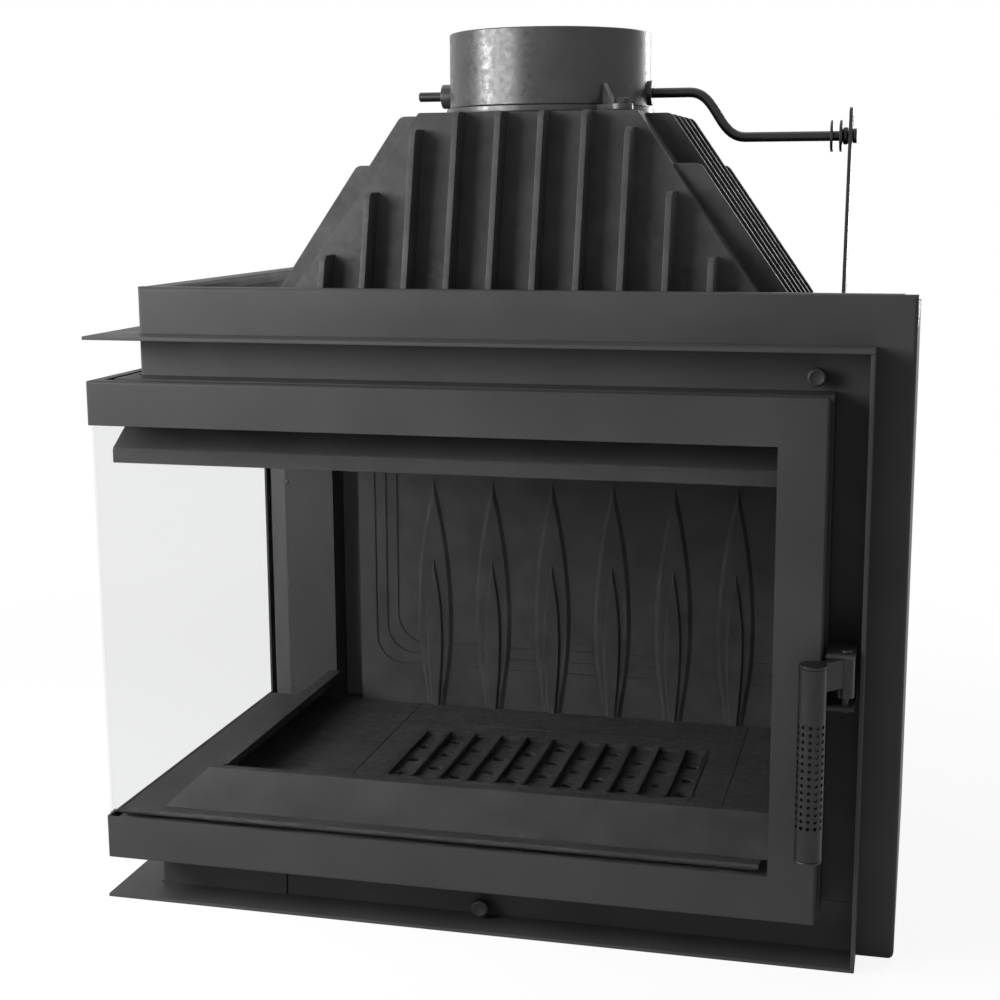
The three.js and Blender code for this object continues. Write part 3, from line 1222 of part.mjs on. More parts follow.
function handleTube() {
  const at = [HANDLE_X, HANDLE_Y];
  return cut(
    rod("z", at, HANDLE_RADIUS, [HANDLE_BOTTOM, HANDLE_TOP], TUBE_SIDES),
    rod("z", at, HANDLE_RADIUS - HANDLE_WALL, [HANDLE_BOTTOM - SHEET, HANDLE_TOP + SHEET], TUBE_SIDES),
  );
}

/** Long bolt through the handle, with a cap that closes the tube's lower end. */
function handleBolt() {
  const at = [HANDLE_X, HANDLE_Y];
  const seat = HANDLE_BOTTOM - SEAT;
  const top = LATCH_ARM_BOTTOM - SEAT;
  return join(
    rod("z", at, HANDLE_BOLT_RADIUS, [seat, top], PIN_SIDES),
    rod("z", at, HANDLE_RADIUS, [seat - HANDLE_CAP, seat], TUBE_SIDES),
  );
}

function makeHandle() {
  place("handle_bracket", handleBracket(), DOOR_PAINT);
  place("latch_pin", latchPin(), FASTENER);
  place("latch_arm", latchArm(), PAINTED);
  place("handle_tube", handleTube(), STEEL);
  place("handle_bolt", handleBolt(), STEEL);
}

// ---- Damper and its control -------------------------------------------------------------------------

/** Damper shaft: straight through the collar, cranked down in a smooth S and straight to its end. */
function damperShaft() {
  const middle = (CRANK_START + CRANK_END) / 2;
  const nub = strapRight() + SEAT;
  const point = (x, z) => new THREE.Vector3(x, 0, z);
  const bend = new THREE.CubicBezierCurve3(
    point(CRANK_START, DAMPER_HEIGHT),
    point(middle, DAMPER_HEIGHT),
    point(middle, CRANK_Z),
    point(CRANK_END, CRANK_Z),
  );
  const section = new THREE.Shape().absarc(0, 0, SHAFT_RADIUS, 0, 2 * Math.PI, false);
  const options = { steps: CRANK_STEPS, curveSegments: HOLE_SIDES, extrudePath: bend };
  return join(
    rod("x", [0, DAMPER_HEIGHT], SHAFT_RADIUS, [SHAFT_LEFT, CRANK_START + SEAT]),
    solid(new THREE.ExtrudeGeometry(section, options)),
    rod("x", [0, CRANK_Z], SHAFT_RADIUS, [CRANK_END - SEAT, SHAFT_RIGHT]),
    rod("x", [0, CRANK_Z], SHAFT_NUB_RADIUS, [nub, nub + SHAFT_NUB_WIDTH], PIN_SIDES),
  );
}

const strapRight = () => STRAP_X + STRAP_THICKNESS;

function damperDisc() {
  const top = DAMPER_HEIGHT - SHAFT_RADIUS - SEAT;
  return rod("z", [0, 0], DISC_RADIUS, [top - DISC_THICKNESS, top], 2 * KNOB_SIDES);
}

/** A ring round the crank's straight end. */
function crankRing(radius, left, width, sides) {
  const hole = rod("x", [0, CRANK_Z], SHAFT_RADIUS + SEAT, [left - width, left + 2 * width]);
  return cut(rod("x", [0, CRANK_Z], radius, [left, left + width], sides), hole);
}

/** Slotted strap: it leans forward from the crank down to the push rod. */
function strap() {
  const along = (z) => (z - CRANK_Z) * STRAP_TAN;
  const half = STRAP_WIDTH / 2;
  const slotHalf = SHAFT_RADIUS + STRAP_SLOT_AIR;
  const slotTop = CRANK_Z + STRAP_SLOT_RISE;
  const top = slotTop + STRAP_EDGE;
  const bottom = ROD_Z - half;
  const bar = (low, high, width, radius) => [
    [along(low) - width, low, radius],
    [along(low) + width, low, radius],
    [along(high) + width, high, radius],
    [along(high) - width, high, radius],
  ];
  const slotBottom = CRANK_Z - slotHalf;
  const thickness = [STRAP_X, strapRight()];
  return cut(
    prism("x", bar(bottom, top, half, STRAP_EDGE), thickness),
    prism("x", bar(slotBottom, slotTop, slotHalf, STRAP_EDGE / 2), [STRAP_X - SHEET, strapRight() + SHEET]),
  );
}

/** Push rod with the cross pin that carries the strap's lower end. */
function pushRod() {
  const front = KNOB_BACK + SEAT;
  return join(
    rod("y", [ROD_X, ROD_Z], ROD_RADIUS, [front, ROD_REAR], PIN_SIDES),
    rod("x", [STRAP_FOOT_Y, ROD_Z], ROD_BOSS_RADIUS, [ROD_X, STRAP_X - SEAT], PIN_SIDES),
  );
}

/** Guide on the hearth's side wall that carries the push rod. */
function rodGuide() {
  const left = HEARTH_WALL + HEARTH_SHEET + SEAT;
  const right = ROD_X + ROD_GUIDE_MARGIN / 2;
  const depth = [ROD_GUIDE_Y, ROD_GUIDE_Y + SHEET];
  const plate = block([left, right], depth, span(ROD_Z, ROD_GUIDE_MARGIN));
  const through = [ROD_GUIDE_Y - SHEET, ROD_GUIDE_Y + 2 * SHEET];
  return cut(plate, rod("y", [ROD_X, ROD_Z], ROD_RADIUS + RUNNING, through, PIN_SIDES));
}

/** Control knob: a disc with a rounded rim on the end of a rod. */
function knob(x, z) {
  const front = KNOB_BACK - KNOB_LENGTH;
  const face = KNOB_RADIUS - KNOB_EDGE;
  const profile = outline([
    [0, 0],
    [face, 0],
    [KNOB_RADIUS, KNOB_SHOULDER, KNOB_EDGE],
    [KNOB_RADIUS, KNOB_LENGTH - KNOB_EDGE, KNOB_EDGE],
    [face, KNOB_LENGTH],
    [0, KNOB_LENGTH],
  ]);
  const geometry = new THREE.LatheGeometry(profile.getPoints(), KNOB_SIDES);
  return solid(geometry.translate(x, front, z));
}

function makeDamper() {
  const washer = (left) => crankRing(CRANK_WASHER_RADIUS, left, CRANK_WASHER_THICKNESS, TUBE_SIDES);
  place("damper_shaft", damperShaft(), STEEL);
  place("damper_disc", damperDisc(), CAST_IRON);
  place("crank_washer_inner", washer(CRANK_WASHER_X), STEEL);
  place("crank_washer_outer", washer(OUTER_WASHER_X), STEEL);
  place("crank_nut", crankRing(CRANK_NUT_RADIUS, CRANK_NUT_X, CRANK_NUT_WIDTH, HEXAGON), FASTENER);
  place("damper_strap", strap(), STEEL);
  place("damper_push_rod", pushRod(), STEEL);
  place("damper_knob", knob(ROD_X, ROD_Z), KNOB_FINISH);
  place("rod_guide", rodGuide(), PAINTED);
}

// ---- Air control ------------------------------------------------------------------------------------

function airShutter() {
  const [front, rear] = [AIR_SHUTTER_Y, AIR_SHUTTER_Y + AIR_SHUTTER_THICKNESS];
  const bottom = SHEET + RUNNING;
  return block(span(AIR_X, AIR_SHUTTER_WIDTH / 2), [front, rear], [bottom, bottom + AIR_SHUTTER_HEIGHT]);
}

function airRod() {
  const depth = [KNOB_BACK + SEAT, AIR_SHUTTER_Y - SEAT];
  return rod("y", [AIR_X, AIR_Z], ROD_RADIUS, depth, PIN_SIDES);
}

function makeAirControl() {
  place("air_shutter", airShutter(), STEEL);
  place("air_rod", airRod(), STEEL);
  place("air_knob", knob(AIR_X, AIR_Z), KNOB_FINISH);
}

makeCasing();
makeHearth();
makeHood();
makeDoor();
makeHinge();
makeHandle();
makeDamper();
makeAirControl();

export default insert;
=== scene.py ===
"""Looks of a fireplace insert with a glazed left corner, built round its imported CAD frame.

Lengths are metres. X = 0 and Y = 0 lie on the flue axis, the front faces -Y and Z = 0 is the underside.
Each sub-assembly is a class: it softens the edges of its sheet and cast pieces, builds its round and
pierced pieces anew at a finer grain, and dresses all of them in procedural finishes.
"""

import json
import logging
import math
from collections.abc import Iterable
from dataclasses import dataclass, field
from enum import Enum

import bmesh
import bpy
from mathutils import Matrix, Vector

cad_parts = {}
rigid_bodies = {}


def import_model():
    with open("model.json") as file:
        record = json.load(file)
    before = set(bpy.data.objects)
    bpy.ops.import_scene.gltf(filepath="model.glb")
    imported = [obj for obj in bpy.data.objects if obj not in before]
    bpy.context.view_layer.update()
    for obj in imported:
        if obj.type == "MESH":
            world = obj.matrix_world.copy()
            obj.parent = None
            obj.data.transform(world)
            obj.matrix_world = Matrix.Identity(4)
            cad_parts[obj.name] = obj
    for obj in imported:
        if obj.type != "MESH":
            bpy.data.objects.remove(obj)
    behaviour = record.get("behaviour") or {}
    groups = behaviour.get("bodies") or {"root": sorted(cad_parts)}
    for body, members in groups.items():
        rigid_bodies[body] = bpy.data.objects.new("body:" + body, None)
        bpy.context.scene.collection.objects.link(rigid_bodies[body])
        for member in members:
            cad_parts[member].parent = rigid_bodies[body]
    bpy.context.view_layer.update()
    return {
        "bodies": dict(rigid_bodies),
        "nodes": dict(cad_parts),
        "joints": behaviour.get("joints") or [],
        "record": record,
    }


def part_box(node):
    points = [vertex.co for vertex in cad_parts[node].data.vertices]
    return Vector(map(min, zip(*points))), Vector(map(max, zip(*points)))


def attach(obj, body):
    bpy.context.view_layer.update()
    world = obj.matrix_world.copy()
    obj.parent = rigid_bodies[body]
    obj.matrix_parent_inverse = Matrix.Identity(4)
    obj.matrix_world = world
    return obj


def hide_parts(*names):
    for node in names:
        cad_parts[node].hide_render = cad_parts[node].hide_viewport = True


FULL_TURN = 2 * math.pi
ONE_POINT = 1e-6  # points nearer than this are one
RAMP_ENDS = (0.3, 0.7)  # where a texture's change from one value to the other begins and ends

Point = tuple[float, float]
Range = tuple[float, float]
Triple = tuple[float, float, float]
Outline = list[Point]
Mesh = bmesh.types.BMesh
Socket = bpy.types.NodeSocket
Material = bpy.types.Material

log = logging.getLogger("insert")


class Body(Enum):
    """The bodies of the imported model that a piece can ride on."""

    CASING = "casing"
    DOOR = "door"
    HANDLE = "handle"
    DAMPER = "damper"
    DAMPER_CONTROL = "damper_control"
    AIR_CONTROL = "air_control"


class Slot(Enum):
    """The record's material slots."""

    PAINTED_STEEL = "painted_steel"
    DOOR_PAINT = "door_paint"
    CAST_IRON = "cast_iron"
    HEARTH_IRON = "hearth_iron"
    BARE_STEEL = "bare_steel"
    HANDLE_STEEL = "handle_steel"
    FASTENER = "fastener"
    KNOB_BLACK = "knob_black"
    ROPE = "rope"
    GLASS = "glass"


class Axis(Enum):
    """The axis that a round or flat piece is built along, with the frame of its own plane."""

    X = ((0, 1, 0), (0, 0, 1), (1, 0, 0))
    Y = ((1, 0, 0), (0, 0, 1), (0, -1, 0))
    Z = ((1, 0, 0), (0, 1, 0), (0, 0, 1))

    def matrix(self, origin: Vector) -> Matrix:
        """Builds the matrix from a piece's own plane and depth to the frame.

        Args:
            origin: Where the plane's and the depth's zero lies.

        Returns:
            The matrix.
        """
        u, v, w = (Vector(column) for column in self.value)
        turn = Matrix((u, v, w)).transposed().to_4x4()
        return Matrix.Translation(origin) @ turn


Turning = tuple[Outline, Axis, Vector]


# ---- Finishes ---------------------------------------------------------------------------------------


@dataclass(frozen=True)
class Noise:
    """A noise in the part's own space: its cells to a metre, its octaves and its scale along each axis."""

    scale: float
    detail: float
    stretch: Triple = (1, 1, 1)


class NodeSheet:
    """A material's node tree, with short methods to add nodes and join them."""

    def __init__(self, name: str) -> None:
        """Starts an empty tree.

        Args:
            name: The material's name.
        """
        self.material = bpy.data.materials.new(name)
        self.material.use_nodes = True
        self.tree = self.material.node_tree
        self.tree.nodes.clear()
        self.output = self.tree.nodes.new("ShaderNodeOutputMaterial")
        self.place = self.tree.nodes.new("ShaderNodeTexCoord").outputs["Object"]
        self.noises: dict[Noise, Socket] = {}

    def add(self, kind: str, **settings: object) -> bpy.types.Node:
        """Adds a node.

        Args:
            kind: The node's type.
            **settings: Its properties, or its sockets' values by name with _ for a space.

        Returns:
            The node.
        """
        node = self.tree.nodes.new(kind)
        for name, value in settings.items():
            socket = node.inputs.get(name.replace("_", " "))
            if socket is None:
                setattr(node, name, value)
            else:
                socket.default_value = value
        return node

    def join(self, source: Socket, target: Socket) -> None:
        """Links one socket to another."""
        self.tree.links.new(source, target)

    def noise(self, noise: Noise) -> Socket:
        """Gives a noise's texture, which is added the first time.

        Args:
            noise: The noise.

        Returns:
            The texture's Fac socket.
        """
        if noise not in self.noises:
            mapping = self.add("ShaderNodeMapping")
            mapping.inputs["Scale"].default_value = noise.stretch
            texture = self.add("ShaderNodeTexNoise", Scale=noise.scale, Detail=noise.detail)
            self.join(self.place, mapping.inputs["Vector"])
            self.join(mapping.outputs["Vector"], texture.inputs["Vector"])
            self.noises[noise] = texture.outputs["Fac"]
        return self.noises[noise]

    def vary(self, target: Socket, source: Socket, ends: Iterable) -> None:
        """Lets an input wander between two values as a texture does.

        Args:
            target: The input.
            source: The texture.
            ends: The two greys or colours.
        """
        ramp = self.add("ShaderNodeValToRGB")
        for element, position, value in zip(ramp.color_ramp.elements, RAMP_ENDS, ends):
            element.position = position
            element.color = (*value, 1) if isinstance(value, tuple) else (value, value, value, 1)
        self.join(source, ramp.inputs["Fac"])
        self.join(ramp.outputs["Color"], target)

    def bump(self, source: Socket, depth: float, strength: float, below: Socket | None = None) -> Socket:
        """Adds a bump.

        Args:
            source: The height.
            depth: The relief's real depth.
            strength: How strongly it shows.
            below: A bump that this one is laid over.

        Returns:
            The normal socket.
        """
        bump = self.add("ShaderNodeBump", Strength=strength, Distance=depth)
        self.join(source, bump.inputs["Height"])
        if below is not None:
            self.join(below, bump.inputs["Normal"])
        return bump.outputs["Normal"]

    def shaded(self, shader: Socket) -> Material:
        """Ends the tree with a shader and returns the material."""
        self.join(shader, self.output.inputs["Surface"])
        return self.material


@dataclass(frozen=True)
class Finish:
    """A finish by name, with the record's slot that it stands for."""

    name: str
    slot: Slot

    def material(self) -> Material:
        """Returns the finish's material, which is made the first time."""
        return bpy.data.materials.get(self.name) or self.build(NodeSheet(self.name))

    def build(self, sheet: NodeSheet) -> Material:
        """Builds the material in an empty node sheet."""
        raise NotImplementedError


def tones(shade: Triple, shares: Range) -> list[Triple]:
    """Returns the tones that are these shares of a shade."""
    return [tuple(part * share for part in shade) for share in shares]


def spread(value: float, steps: Range) -> list[float]:
    """Returns the values at these steps from a value."""
    return [value + step for step in steps]


@dataclass(frozen=True)
class Relief:
    """A relief that follows a noise: how many times shallower than its finish's depth, and its strength."""

    noise: Noise
    shallower: float
    strength: float


@dataclass(frozen=True)
class Coat(Finish):
    """An opaque finish whose shade, sheen and skin each follow a noise."""

    shade: Triple
    roughness: float
    gloss: float
    metal: float
    tone: Noise
    tone_shares: Range
    sheen: Noise
    sheen_steps: Range
    depth: float
    skin: tuple[Relief, ...]

    def build(self, sheet: NodeSheet) -> Material:
        """Builds the finish: uneven shade and roughness, with its reliefs laid over each other.

        Args:
            sheet: The empty sheet that it is built in.

        Returns:
            The material.
        """
        shader = sheet.add("ShaderNodeBsdfPrincipled", Specular_IOR_Level=self.gloss, Metallic=self.metal)
        tone = sheet.noise(self.tone)
        sheet.vary(shader.inputs["Base Color"], tone, tones(self.shade, self.tone_shares))
        sheen = sheet.noise(self.sheen)
        sheet.vary(shader.inputs["Roughness"], sheen, spread(self.roughness, self.sheen_steps))
        skin = None
        for relief in self.skin:
            height = sheet.noise(relief.noise)
            skin = sheet.bump(height, self.depth / relief.shallower, relief.strength, skin)
        sheet.join(skin, shader.inputs["Normal"])
        return sheet.shaded(shader.outputs["BSDF"])


@dataclass(frozen=True)
class PowderCoat(Coat):
    """Matt stove paint on sheet steel: a soft cloudiness, a low sheen and a fine orange peel."""

    shade: Triple = (0.042, 0.042, 0.0425)
    roughness: float = 0.5
    gloss: float = 0.12
    metal: float = 0
    tone: Noise = Noise(9, 3)
    tone_shares: Range = (0.88, 1.16)
    sheen: Noise = Noise(26, 5)
    sheen_steps: Range = (-0.05, 0.06)
    depth: float = 0.00006
    skin: tuple[Relief, ...] = (Relief(Noise(420, 2), 1, 0.35), Relief(Noise(1500, 2), 2, 0.3))


@dataclass(frozen=True)
class CastIron(Coat):
    """Sand-cast iron under heat paint: a sandy skin over slow waves, uneven in shade and sheen."""

    shade: Triple = (0.028, 0.028, 0.0285)
    roughness: float = 0.58
    gloss: float = 0.2
    metal: float = 0
    tone: Noise = Noise(34, 6)
    tone_shares: Range = (0.8, 1.3)
    sheen: Noise = Noise(160, 4)
    sheen_steps: Range = (-0.08, 0.14)
    depth: float = 0.0004
    skin: tuple[Relief, ...] = (Relief(Noise(60, 3), 1, 0.3), Relief(Noise(700, 3), 3, 0.5))


BRUSHED = Noise(900, 3, (1, 1, 0.06))


@dataclass(frozen=True)
class DarkSteel(Coat):
    """Blackened steel with a fine grain drawn along Z and a satin sheen."""

    shade: Triple = (0.026, 0.026, 0.027)
    roughness: float = 0.36
    gloss: float = 0.5
    metal: float = 0.7
    tone: Noise = BRUSHED
    tone_shares: Range = (0.85, 1.2)
    sheen: Noise = Noise(45, 4)
    sheen_steps: Range = (-0.05, 0.08)
    depth: float = 0.00003
    skin: tuple[Relief, ...] = (Relief(BRUSHED, 1, 0.3),)


@dataclass(frozen=True)
class GlassRope(Finish):
    """Dark knitted glass-fibre rope."""

    shades: tuple[Triple, Triple] = ((0.012, 0.012, 0.013), (0.045, 0.045, 0.047))
    roughness: float = 0.95
    strands: float = 190
    slant: float = 1.5
    strand_depth: float = 0.0006
    strand_strength: float = 0.7
    fuzz: Noise = Noise(1800, 3)
    fuzz_depth: float = 0.0002
    fuzz_strength: float = 0.4

    def build(self, sheet: NodeSheet) -> Material:
        """Builds the rope: slanting strands with fuzz over them.

        Args:
            sheet: The empty sheet that it is built in.

        Returns:
            The material.
        """
        shader = sheet.add("ShaderNodeBsdfPrincipled", Roughness=self.roughness)
        kind = "ShaderNodeTexWave"
        wave = sheet.add(kind, Scale=self.strands, Distortion=self.slant, bands_direction="DIAGONAL")
        sheet.join(sheet.place, wave.inputs["Vector"])
        strands = wave.outputs["Fac"]
        sheet.vary(shader.inputs["Base Color"], strands, self.shades)
        weave = sheet.bump(strands, self.strand_depth, self.strand_strength)
        fuzz = sheet.bump(sheet.noise(self.fuzz), self.fuzz_depth, self.fuzz_strength, weave)
        sheet.join(fuzz, shader.inputs["Normal"])
        return sheet.shaded(shader.outputs["BSDF"])


@dataclass(frozen=True)
class ClearGlass(Finish):
    """Clear fire-proof glass, which lets the lamps through."""

    tint: Triple = (0.915, 0.918, 0.918)
    bend: float = 1.05

    def build(self, sheet: NodeSheet) -> Material:
        """Builds the glass: a smooth pane, clear to rays from lamps.

        Args:
            sheet: The empty sheet that it is built in.

        Returns:
            The material.
        """
        pane = sheet.add("ShaderNodeBsdfPrincipled", IOR=self.bend, Roughness=0, Transmission_Weight=1)
        pane.inputs["Base Color"].default_value = (*self.tint, 1)
        clear = sheet.add("ShaderNodeBsdfTransparent")
        clear.inputs["Color"].default_value = (*self.tint, 1)
        rays = sheet.add("ShaderNodeLightPath")
        mix = sheet.add("ShaderNodeMixShader")
        sheet.join(rays.outputs["Is Shadow Ray"], mix.inputs["Fac"])
        sheet.join(pane.outputs["BSDF"], mix.inputs[1])
        sheet.join(clear.outputs["BSDF"], mix.inputs[2])
        return sheet.shaded(mix.outputs["Shader"])


PAINT = PowderCoat("stove_paint", Slot.PAINTED_STEEL)
DOOR_PAINT = PowderCoat(
    "satin_stove_paint", Slot.DOOR_PAINT, (0.035, 0.035, 0.0355), roughness=0.46, gloss=0.1
)
# painted shade: a darker, matter copy of the stove paint for the sheets inside the firebox, which stands for
# the shade that falls there
SHADED_HEARTH_PAINT = PowderCoat(
    "hearth_paint_darkened_for_shade", Slot.PAINTED_STEEL, (0.022, 0.022, 0.0222), roughness=0.58, gloss=0.05
)
HOOD_IRON = CastIron("hood_iron", Slot.CAST_IRON, (0.042, 0.042, 0.0425))
# painted shade: the cast iron inside the firebox is darkened well below the hood's iron to stand for the
# shade that falls there
HEARTH_IRON = CastIron(
    "hearth_iron_darkened_for_shade", Slot.HEARTH_IRON, (0.018, 0.018, 0.0182), roughness=0.6, gloss=0.08, depth=0.0003
)
COLLAR_IRON = CastIron(
    "collar_iron", Slot.CAST_IRON, (0.026, 0.026, 0.0264), roughness=0.3, gloss=0.42, depth=0.00005
)
STEEL = DarkSteel("dark_steel", Slot.BARE_STEEL)
HANDLE_STEEL = DarkSteel("satin_handle_steel", Slot.HANDLE_STEEL, (0.022, 0.022, 0.023), roughness=0.32)
BLACKED = DarkSteel("blacked_screws", Slot.FASTENER, (0.025, 0.025, 0.027), roughness=0.42)
KNOB = PowderCoat("knob_paint", Slot.KNOB_BLACK, (0.034, 0.034, 0.0345), roughness=0.46)
ROPE = GlassRope("glass_rope", Slot.ROPE)
GLASS = ClearGlass("clear_glass", Slot.GLASS)


# ---- Mesh tools -------------------------------------------------------------------------------------


def ring_points(radius: float, sides: int) -> Outline:
    """Returns the points of a circle round zero, anticlockwise from the right."""
    angles = (FULL_TURN * i / sides for i in range(sides))
    return [(radius * math.cos(a), radius * math.sin(a)) for a in angles]


def bridge(bm: Mesh, low: list, high: list) -> None:
    """Joins two rings of vertices with faces.

    Args:
        bm: The mesh.
        low: One ring's vertices.
        high: As many vertices of the other ring.
    """
    for i in range(len(low)):
        k = (i + 1) % len(low)
        bm.faces.new((low[i], low[k], high[k], high[i]))


def revolve(bm: Mesh, profile: Outline, axis: Axis, origin: Vector, sides: int) -> None:
    """Turns a closed profile about an axis and adds it to a mesh.

    Args:
        bm: The mesh.
        profile: Closed loop of (radius, depth along the axis).
        axis: The axis.
        origin: Where radius and depth are zero.
        sides: Facets in a full turn.
    """
    place = axis.matrix(origin)
    rings = []
    for radius, depth in profile:
        if radius < ONE_POINT:
            rings.append([bm.verts.new(place @ Vector((0, 0, depth)))])
        else:
            rings.append([bm.verts.new(place @ Vector((u, v, depth))) for u, v in ring_points(radius, sides)])
    for i, low in enumerate(rings):
        high = rings[(i + 1) % len(rings)]
        for k in range(sides):
            below = (low[k % len(low)], low[(k + 1) % len(low)])
            above = (high[(k + 1) % len(high)], high[k % len(high)])
            unique = list(dict.fromkeys((*below, *above)))
            if len(unique) > 2:
                bm.faces.new(unique)


def rounded_bar(radius: float, low: float, high: float, edge: float, bore: float = 0) -> Outline:
    """Returns the profile of a round bar or ring whose end edges are rounded.

    Args:
        radius: Outer radius.
        low: Depth of the lower end.
        high: Depth of the upper end.
        edge: Radius of the rounding.
        bore: Radius of the bore, or 0 for a solid bar.

    Returns:
        The closed loop of (radius, depth).
    """
    steps = [math.radians(a) for a in (0, 22.5, 45, 67.5, 90)]
    foot = [(radius - edge + edge * math.sin(a), low + edge - edge * math.cos(a)) for a in steps]
    head = [(radius - edge + edge * math.cos(a), high - edge + edge * math.sin(a)) for a in steps]
    return [(bore, low), *foot, *head, (bore, high)]


def sweep(bm: Mesh, path: list[Vector], radius: float, sides: int, edge: float) -> None:
    """Draws a round bar along a path, with closed and chamfered ends.

    Args:
        bm: The mesh.
        path: The centreline.
        radius: The bar's radius.
        sides: Facets round it.
        edge: The chamfer at its ends.
    """
    first = path[0] + (path[1] - path[0]).normalized() * edge
    last = path[-1] + (path[-2] - path[-1]).normalized() * edge
    path = [path[0], first, *path[1:-1], last, path[-1]]
    rings = []
    normal = Vector((0, 0, 1)).cross(path[1] - path[0])
    normal = (normal if normal.length > ONE_POINT else Vector((1, 0, 0))).normalized()
    for i, point in enumerate(path):
        ahead = (path[min(i + 1, len(path) - 1)] - path[max(i - 1, 0)]).normalized()
        normal = (normal - ahead * normal.dot(ahead)).normalized()
        side = ahead.cross(normal)
        here = radius - edge if i in (0, len(path) - 1) else radius
        rings.append([bm.verts.new(point + normal * u + side * v) for u, v in ring_points(here, sides)])
    for low, high in zip(rings, rings[1:]):
        bridge(bm, low, high)
    bm.faces.new(rings[0])
    bm.faces.new(rings[-1])


def cut_plate(
    bm: Mesh, outline: Outline, holes: Iterable[Outline], thickness: float, edge: float, place: Matrix
) -> None:
    """Adds a flat plate with holes and rounded edges, its middle plane at the depth zero of its own frame.

    Args:
        bm: The mesh.
        outline: The plate's outline.
        holes: The outlines of its holes.
        thickness: Its thickness.
        edge: The rounding of all its edges.
        place: From the plate's plane and depth to the frame.
    """
    curve = bpy.data.curves.new("plate_outline", "CURVE")
    curve.dimensions = "2D"
    curve.fill_mode = "BOTH"
    for loop in (outline, *holes):
        spline = curve.splines.new("POLY")
        spline.points.add(len(loop) - 1)
        for point, (u, v) in zip(spline.points, loop):
            point.co = (u, v, 0, 1)
        spline.use_cyclic_u = True
    curve.extrude = thickness / 2 - edge
    curve.bevel_depth = edge
    curve.bevel_resolution = 1
    curve.offset = -edge
    holder = bpy.data.objects.new("plate_outline", curve)
    mesh = holder.to_mesh()
    mesh.transform(place)
    bm.from_mesh(mesh)
    holder.to_mesh_clear()
    bpy.data.objects.remove(holder)
    bpy.data.curves.remove(curve)
    bmesh.ops.remove_doubles(bm, verts=bm.verts, dist=ONE_POINT)


def round_rectangle(
    half_u: float, half_v: float, radius: float, centre: Point = (0, 0), steps: int = 6
) -> Outline:
    """Returns a rectangle's outline with rounded corners.

    Args:
        half_u: Half its width.
        half_v: Half its height.
        radius: The corners' radius.
        centre: Its middle.
        steps: Facets in a corner.

    Returns:
        The outline, anticlockwise.
    """
    points = []
    for quarter, (su, sv) in enumerate(((1, 1), (-1, 1), (-1, -1), (1, -1))):
        for i in range(steps + 1):
            angle = (quarter + i / steps) * math.pi / 2
            u = centre[0] + su * (half_u - radius) + radius * math.cos(angle)
            v = centre[1] + sv * (half_v - radius) + radius * math.sin(angle)
            points.append((u, v))
    return points


@dataclass
class Fitter:
    """Turns meshes into pieces of the insert: it shades them, dresses them and fits them to their body."""

    frame: dict
    sharp: float = math.radians(33)  # edges that turn by more than this are shaded as edges
    flat: float = math.radians(1)  # faces that turn by less than this are one face
    seam: float = 1e-5  # a CAD node's corners that are nearer than this are one
    made: list[str] = field(default_factory=list)

    def fit(self, name: str, bm: Mesh, finish: Finish, body: Body, node: str = "") -> None:
        """Makes a piece.

        Args:
            name: The piece's name.
            bm: Its mesh, which is used up.
            finish: Its finish.
            body: The body that it rides on.
            node: The CAD node that it stands for, if any.
        """
        bmesh.ops.recalc_face_normals(bm, faces=bm.faces)
        for face in bm.faces:
            face.smooth = True
        for edge in bm.edges:
            edge.smooth = len(edge.link_faces) == 2 and edge.calc_face_angle(0) < self.sharp
        mesh = bpy.data.meshes.new(name)
        bm.to_mesh(mesh)
        bm.free()
        mesh.materials.append(finish.material())
        piece = bpy.data.objects.new(name, mesh)
        bpy.context.scene.collection.objects.link(piece)
        even = piece.modifiers.new("even_shading", "WEIGHTED_NORMAL")
        even.keep_sharp = True
        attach(piece, body.value)
        if node:
            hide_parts(node)
        self.made.append(name)
        log.info("%s rides on %s in %s", name, body.value, finish.name)

    def soften(
        self, node: str, finish: Finish, body: Body, edge: float, segments: int = 2, turn: float = 32
    ) -> None:
        """Makes a piece from a CAD node's own form, with its sharp edges rounded.

        Args:
            node: The CAD node.
            finish: Its finish.
            body: The body that it rides on.
            edge: The rounding's radius.
            segments: Facets in the rounding.
            turn: Edges that turn by more than this many degrees are rounded.
        """
        bm = bmesh.new()
        bm.from_mesh(self.frame["nodes"][node].data)
        bmesh.ops.remove_doubles(bm, verts=bm.verts, dist=self.seam)
        bmesh.ops.dissolve_limit(bm, angle_limit=self.flat, verts=bm.verts, edges=bm.edges)
        turned = math.radians(turn)
        edges = [e for e in bm.edges if len(e.link_faces) == 2 and e.calc_face_angle(0) > turned]
        bmesh.ops.bevel(
            bm, geom=edges, offset=edge, segments=segments, profile=0.5, affect="EDGES", clamp_overlap=True
        )
        self.fit(f"{node}_dressed", bm, finish, body, node)

    def dress(self, node: str, finish: Finish) -> None:
        """Gives a CAD node, whose form is right as it is, a finish.

        Args:
            node: The CAD node.
            finish: The finish.
        """
        mesh = self.frame["nodes"][node].data
        mesh.materials.clear()
        mesh.materials.append(finish.material())
        self.made.append(node)
        log.info("%s keeps its form in %s", node, finish.name)

    def turned(
        self, node: str, parts: list[Turning], finish: Finish, body: Body, sides: int = 48
    ) -> None:
        """Makes a piece from turned profiles.

        Args:
            node: The CAD node that it stands for.
            parts: Each profile with its axis and origin.
            finish: Its finish.
            body: The body that it rides on.
            sides: Facets in a full turn.
        """
        bm = bmesh.new()
        for profile, axis, origin in parts:
            revolve(bm, profile, axis, origin, sides)
        self.fit(f"{node}_turned", bm, finish, body, node)


def middle(node: str) -> Vector:
    """Returns the middle of a CAD node's box."""
    low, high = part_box(node)
    return (low + high) / 2


def on_axis(node: str) -> Vector:
    """Returns the point at height zero under the middle of an upright CAD node."""
    centre = middle(node)
    return Vector((centre.x, centre.y, 0))


def on_face(node: str) -> Vector:
    """Returns the point at depth zero in front of the middle of a CAD node."""
    centre = middle(node)
    return Vector((centre.x, 0, centre.z))


